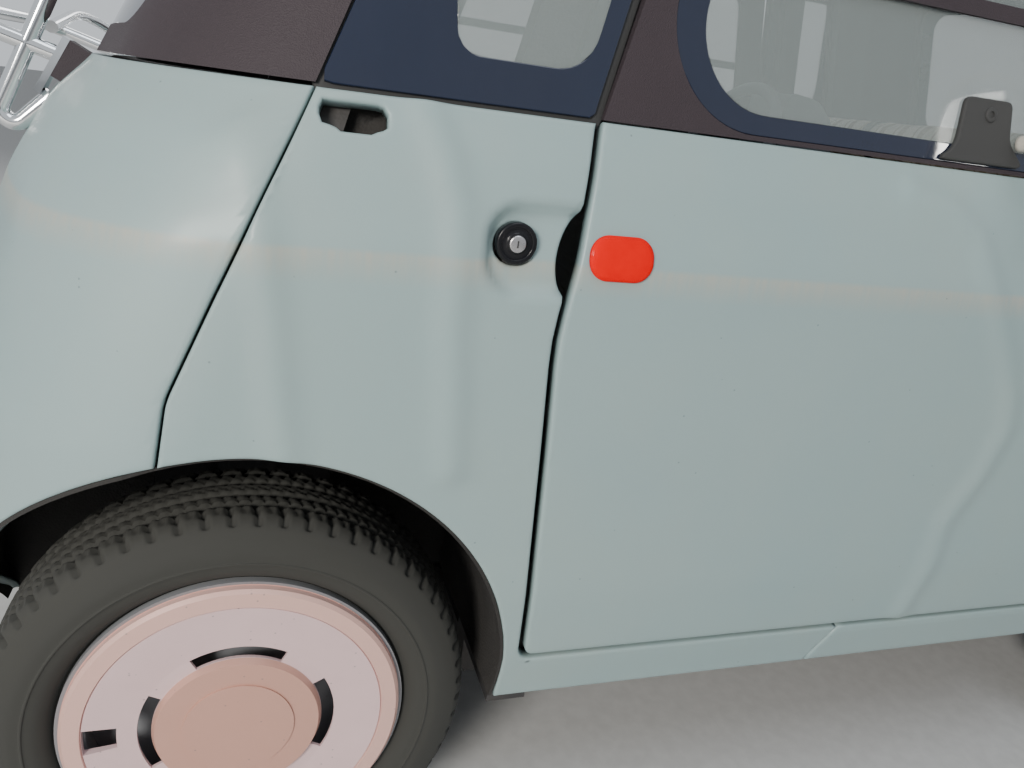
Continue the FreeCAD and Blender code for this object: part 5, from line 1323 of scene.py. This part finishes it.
    def lock(self, side: str, place: Place) -> None:
        """Round bezel with a rolled edge, a sunk face, and a metal barrel; its keyway is painted shade, a
        thin near-black block on the barrel's face where the slot would be dark.
        """
        centre = np.array([LOCK_AT[0] / 1000, self.lock_y, LOCK_AT[1] / 1000])
        axis = np.array([0.0, -1.0, 0.0])
        shape = revolve(self.bezel, 64, centre, axis)
        make_piece(f"lock_bezel_{side}", shape, LOCK_BLACK, "body", "door_locks", place, 50)
        shape = revolve(self.barrel, 48, centre, axis)
        make_piece(f"lock_barrel_{side}", shape, KEY_METAL, "body", place=place, sharp=50)
        # Painted shade: a near-black block stands for the dark of the key slot, which is not cut.
        spot, half = centre + axis * 0.0029, np.array([0.0008, 0.0004, 0.0036])
        make_piece(f"lock_keyway_{side}", rounded_block(spot - half, spot + half, 0.0003, 2), SEAL, "body",
                   place=place)

    @staticmethod
    def marker(side: str, place: Place) -> None:
        """Domed red lens with a rounded edge, on the door's rear corner."""
        loop = side_loop(box_corners((-528.5, -455.5), (847, 893), 21), 0.002)

        def dome(u: Array, v: Array) -> Array:
            """Rise of the lens: a quarter ellipse of the distance from its edge."""
            near = outline_distance(np.stack([u, v], 1), [loop])[0]
            return 0.0035 + 0.0035 * np.sqrt(1 - (1 - np.clip(near / 0.020, 0, 1)) ** 2)

        shape = shell([loop], 0.0022, FORM.side_point, ShellSpec(0.0009, 0.0032, 0.0008), dome)
        make_piece(f"marker_lens_{side}", shape, MARKER_RED, f"door_{side}", f"door_{side}_marker", place)

    def flap_well(self) -> None:
        """Dark cup behind the opening that the missing flap leaves."""
        loop = side_loop(box_corners((-805, -734), (961, 994), 4), 0.003)
        middle = loop.mean(0)
        rings = [surface_inset(FORM.side_point, middle + (loop - middle) * scale, depth)
                 for scale, depth in self.well_rings]
        make_piece("flap_well", swept(rings), LINER, "body")


# ---------------------------------------------------------------- windows


def trapezium(low: Corner, high: Corner) -> list[Corner]:
    """Corners of a shape that is even about a = 0, from its two corners at positive a."""
    return [(-low[0], *low[1:]), low, high, (-high[0], *high[1:])]


@dataclass(frozen=True)
class Glazing:
    """Clear panes and the black painted bands round them, all on one smooth surface.

    The gasket's section gives places out from the glass edge and in from the surface.
    """

    depth: float = 0.0020
    thickness: float = 0.004
    band_spacing: float = 0.0075
    pane_spacing: float = 0.0125
    outline_step: float = 0.006
    sharp: float = 20
    gasket_section: tuple = ((-0.008, 0.0080), (-0.007, 0.0068), (0.000, 0.0064), (0.009, 0.0068),
                             (0.011, 0.0080), (0.010, 0.0098), (0.000, 0.0094), (-0.007, 0.0098))

    def build(self) -> None:
        """Make the panes of both doors, the four quarters and the two ends."""
        door = (trapezium((482, 1009, 109), (378.5, 1374, 59)), trapezium((440, 1030, 86), (347, 1349, 45)))
        quarter = ([(-802, 1004.5, 6), (-528, 1004.5, 6), (-427, 1398.5, 6), (-639, 1398.5, 6)],
                   [(-674, 1046, 24), (-538, 1046, 45), (-458, 1372, 25), (-622, 1372, 25),
                    (-681, 1150, 140)])
        end = (trapezium((499, 1036, 59), (429, 1394, 59)), trapezium((462, 1068, 50), (398, 1364, 50)))
        on_side, on_end = (FORM.side_point, FORM.side_outline), (FORM.end_point, FORM.end_outline)
        for side, place in BOTH_SIDES:
            self.window(f"door_{side}", f"door_{side}", door, place, f"door_{side}_glass", *on_side)
        for place in Place:
            self.window(f"quarter_{place.name.lower()}", "body", quarter, place, "fixed_windows", *on_side)
        for name, place in (("rear", Place.AS_DRAWN), ("front", Place.TURNED)):
            self.window(f"{name}_end", "body", end, place, "fixed_windows", *on_end)

    def window(self, name: str, body: str, outlines: tuple[list[Corner], list[Corner]], place: Place,
               node: str, surface: Surface, flatten: Surface) -> None:
        """One pane with its painted band, and a gasket where it is fixed.

        Args:
            name: start of the objects' names.
            body: CAD body that they ride on.
            outlines: edge of the glass and edge of its clear part, in millimetres.
            place: where the drawn shape goes.
            node: CAD node that they stand for.
            surface: surface that the outlines lie on.
            flatten: maps a plain outline onto that surface.
        """
        outer, inner = (flatten(rounded_outline(metres(corners), self.outline_step)) for corners in outlines)
        if polygon_area(outer) < 0:
            outer, inner = outer[::-1], inner[::-1]
        band = ShellSpec(0.0009, self.thickness, 0.0012, self.depth)
        shape = shell([outer, inner], self.band_spacing, surface, band)
        make_piece(name + "_frit", shape, FRIT, body, node, place, self.sharp)
        if body == "body":
            along = np.roll(outer, -1, 0) - np.roll(outer, 1, 0)
            normal = np.stack([along[:, 1], -along[:, 0]], 1) / np.linalg.norm(along, axis=1)[:, None]
            rings = [surface_inset(surface, outer + normal * out, depth)
                     for out, depth in self.gasket_section]
            make_piece(name + "_gasket", swept(rings, True), SEAL, "body", place=place)
        sheet = ShellSpec(0.0002, self.thickness - 0.0008, self.thickness - 0.0012, self.depth)
        shape = shell([inner], self.pane_spacing, surface, sheet)
        make_piece(name + "_pane", shape, GLASS, body, node, place, self.sharp)


# ---------------------------------------------------------------- soft goods


def cushion(low: Sequence[float], high: Sequence[float], crown: float, power: float = 5.0, rows: int = 24,
            columns: int = 20) -> Shape:
    """Stuffed cushion: a box rounded as a superellipsoid, its faces swelled to a crown.

    A unit direction (a, b, c) of a divided cube is divided by (|a|^p + |b|^p + |c|^p)^(1/p), which gives a
    block with soft edges, and the top rises by crown·(1 - a⁴)(1 - b⁴).
    """
    low, high = np.array(low, float), np.array(high, float)
    long, short = (np.tan(np.linspace(-np.pi / 4, np.pi / 4, count)) for count in (rows, columns))
    cube, faces = cube_sheets(lambda axis: (long, short if axis else long), -np.ones(3), np.ones(3))
    unit = cube / ((np.abs(cube) ** power).sum(1) ** (1 / power))[:, None]
    swell = crown * (1 - unit[:, 0] ** 4) * (1 - unit[:, 1] ** 4) * np.clip(unit[:, 2], 0, 1)
    placed = (low + high) / 2 + unit * (high - low) / 2
    placed[:, 2] += swell
    return placed, faces


def padded_piece(name: str, shape: Shape, finish: Finish, node: str) -> None:
    """Padded piece with one level of smoothing."""
    piece = make_piece(name, shape, finish, "body", node)
    smooth = piece.modifiers.new("smooth", "SUBSURF")
    smooth.levels = smooth.render_levels = 1


@dataclass(frozen=True)
class SoftGoods:
    """Seats and the rolled cloth on the dashboard."""

    seat_y: tuple[float, float] = (-0.300, 0.300)
    back_lean: float = -13.5
    seat_fill: float = 0.75
    roll_rows: int = 110
    roll_columns: int = 56
    roll_x: float = 0.610
    roll_z: float = 1.0372
    roll_radius: float = 0.0435
    roll_half_length: float = 0.515
    straps: tuple[float, float] = (-0.55, 0.48)
    strap: tuple = ((40.2, -13), (41.6, -13.6), (42.6, -12.5), (42.6, 12.5), (41.6, 13.6), (40.2, 13))

    def build(self) -> None:
        """Make both seats and the cloth roll."""
        for number, y in enumerate(self.seat_y):
            self.seat(number, y)
        padded_piece("dash_cloth_roll", self.roll(), STRIPED, "dash_roll")
        for number, place in enumerate(self.straps):
            middle = (self.roll_x, self.roll_half_length * place, self.roll_z)
            shape = revolve(self.strap, 72, middle, (0.0, 1.0, 0.0))
            make_piece(f"dash_strap_{number}", shape, SEAL, "body")

    def seat(self, number: int, y: float) -> None:
        """Moulded base, stuffed cushion and reclined stuffed back with a lumbar swell."""
        shape = rounded_block((-0.325, y - 0.215, 0.270), (0.118, y + 0.215, 0.462), 0.03, 5)
        make_piece(f"seat_base_{number}", shape, BLACK, "body", "seats")
        shape = cushion((-0.262, y - 0.222, 0.455), (0.143, y + 0.222, 0.545), 0.012)
        padded_piece(f"seat_cushion_{number}", shape, SEAT, "seats")
        points, faces = cushion((-0.040, -0.222, -0.235), (0.040, 0.222, 0.275), 0.0)
        points[:, 0] += 0.012 * np.exp(-((points[:, 2] + 0.08) / 0.09) ** 2) * (points[:, 0] > 0)
        lean = math.radians(self.back_lean)
        turned = points.copy()
        turned[:, 0] = points[:, 0] * math.cos(lean) + points[:, 2] * math.sin(lean) - 0.345
        turned[:, 2] = -points[:, 0] * math.sin(lean) + points[:, 2] * math.cos(lean) + 0.755
        turned[:, 1] += y
        padded_piece(f"seat_back_{number}", (turned, faces), SEAT, "seats")

    def roll(self) -> Shape:
        """Rolled cloth with spiral ends, slack wrinkles along it and two waists where the straps draw it in.

        At angle t and place s the radius is r·(1 + wrinkle waves) less a bell at each strap; near the ends
        it turns in along a quarter circle.
        """
        rows, columns = self.roll_rows, self.roll_columns
        s = np.linspace(-1, 1, rows)[:, None]
        t = (np.arange(columns) / columns * 2 * np.pi)[None, :]
        waves = (0.030 * np.sin(3 * t + 7 * s) * np.sin(9 * s + 1.3) + 0.022 * np.sin(5 * t - 16 * s + 0.7)
                 + 0.014 * np.sin(9 * t + 31 * s))
        waist = sum(0.16 * np.exp(-((s - place) / 0.035) ** 2) for place in self.straps)
        round_lap = (t + 0.4 + 0.25 * s) % (2 * np.pi)
        lap = 0.05 * smooth_step(round_lap, 0.0, 0.35) * (1 - smooth_step(round_lap, 5.6, 6.28))
        end = np.sqrt(np.clip(1 - np.clip((np.abs(s) - 0.955) / 0.045, 0, 1) ** 2, 0, 1))
        radius = self.roll_radius * (0.93 + waves - waist + lap) * (0.02 + 0.98 * end)
        x = self.roll_x + radius * np.cos(t)
        z = self.roll_z + radius * np.sin(t) * np.where(np.sin(t) < 0, 1.08, 1.0)
        y = np.broadcast_to(self.roll_half_length * s, x.shape)
        cap = np.arange(columns)[None, :]
        faces = [grid_faces(rows, columns, False, True), cap, (cap + (rows - 1) * columns)[:, ::-1]]
        return np.stack([x, y, z], -1).reshape(-1, 3), faces


# ---------------------------------------------------------------- stage


LIGHTS = (("key_light", (-3.3, -3.9, 2.2), (-0.3, -0.65, 0.6), 1.2, 208.0, (1.0, 0.96, 0.89)),
          ("fill_light", (0.2, -2.6, 5.4), (0.0, -0.4, 0.6), 2.6, 70.0, (0.86, 0.93, 1.0)),
          ("back_light", (0.5, 4.4, 3.6), (0.0, 0.0, 0.7), 3.6, 150.0, (1.0, 1.0, 1.0)))


@dataclass(frozen=True)
class Studio:
    """Camera at the photo's angle, pale floor and soft lights."""

    focal_pixels: float = 770.3
    image_width: float = 1024.0
    eye: tuple[float, float, float] = (-0.8518, -1.4201, 1.0085)
    yaw: float = 19.6
    pitch: float = 19.93
    roll: float = 7.81

    def build(self) -> None:
        """Make the camera, the floor, the world and the lights."""
        self.camera()
        self.floor()
        self.world()
        for light in LIGHTS:
            self.light(*light)

    def camera(self) -> None:
        """Camera looking along +Y, turned by yaw, tipped down by pitch and rolled about its view."""
        yaw, pitch, roll = (math.radians(a) for a in (self.yaw, self.pitch, self.roll))
        ahead = np.array([math.sin(yaw), math.cos(yaw), 0.0])
        level = np.array([math.cos(yaw), -math.sin(yaw), 0.0])
        forward = ahead * math.cos(pitch) - np.array([0.0, 0.0, math.sin(pitch)])
        above = np.cross(level, forward)
        right = level * math.cos(roll) + above * math.sin(roll)
        up = above * math.cos(roll) - level * math.sin(roll)
        data = bpy.data.cameras.new("photo_camera")
        data.sensor_width = 36.0
        data.lens = self.focal_pixels / self.image_width * data.sensor_width
        data.clip_start = 0.02
        camera = bpy.data.objects.new("photo_camera", data)
        turn = Matrix((right, up, -forward)).transposed().to_4x4()
        camera.matrix_world = Matrix.Translation(Vector(self.eye)) @ turn
        bpy.context.scene.collection.objects.link(camera)
        bpy.context.scene.camera = camera

    def floor(self) -> None:
        """Large pale floor disc with a faint grain."""
        angle = np.arange(96) / 96 * 2 * np.pi
        ring = np.stack([np.cos(angle), np.sin(angle), np.zeros(96)], 1)
        points, faces = swept([ring * radius for radius in (0.0, 2.0, 5.0, 12.0, 30.0)])
        mesh = bpy.data.meshes.new("floor")
        mesh.from_pydata(points.tolist(), [], faces[0].tolist())
        material = bpy.data.materials.new("pale_floor")
        material.use_nodes = True
        t = Tree(material.node_tree)
        shader = material.node_tree.nodes["Principled BSDF"]
        noise = t.noise(t.place(), 40.0, 6.0)
        colour = t.mix(t.span(noise, 0.35, 0.65), rgba((0.62, 0.62, 0.615)), rgba((0.67, 0.67, 0.665)))
        t.tree.links.new(colour, shader.inputs["Base Color"])
        shader.inputs["Roughness"].default_value = 0.85
        mesh.materials.append(material)
        floor = bpy.data.objects.new("floor", mesh)
        bpy.context.scene.collection.objects.link(floor)

    def world(self) -> None:
        """Even pale sky: brighter to the camera and to reflections than as a light."""
        world = bpy.data.worlds.new("studio_sky")
        bpy.context.scene.world = world
        world.use_nodes = True
        world.node_tree.nodes.clear()
        t = Tree(world.node_tree)
        path = t.add("LightPath")
        seen = t.math("MAXIMUM", path.outputs["Is Camera Ray"], path.outputs["Is Transmission Ray"])
        seen = t.math("MAXIMUM", seen, path.outputs["Is Glossy Ray"])
        strength = t.span(seen, 0.0, 1.0, 0.30, 0.75)
        sky = t.add("Background", {"Color": (0.90, 0.95, 1.0, 1.0), "Strength": strength})
        t.add("OutputWorld", {"Surface": sky.outputs[0]})

    @staticmethod
    def light(name: str, place: Triple, target: Triple, size: float, power: float, colour: Colour) -> None:
        """Square soft light aimed at a point."""
        data = bpy.data.lights.new(name, "AREA")
        data.size = size
        data.energy = power
        data.color = colour
        light = bpy.data.objects.new(name, data)
        light.location = place
        aim = Vector(target) - Vector(place)
        light.rotation_euler = aim.to_track_quat("-Z", "Y").to_euler()
        bpy.context.scene.collection.objects.link(light)


NEAR_TYRE_STEPS, FAR_TYRE_STEPS = 496, 248


def main() -> None:
    """Build the car's looks piece by piece."""
    logging.basicConfig(level=logging.INFO, format="%(name)s %(message)s")
    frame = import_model()
    Studio().build()
    dress_cad_nodes(frame["nodes"])
    Panels().build()
    Fittings().build()
    Glazing().build()
    for end, x in (("rear", -AXLE_X), ("front", AXLE_X)):
        for side, sign in (("right", -1.0), ("left", 1.0)):
            near_view = end == "rear" and side == "right"
            steps = NEAR_TYRE_STEPS if near_view else FAR_TYRE_STEPS
            Tyre(x, sign, f"tyre_{end}_{side}", steps).build()
    SoftGoods().build()


if __name__ == "__main__":
    main()
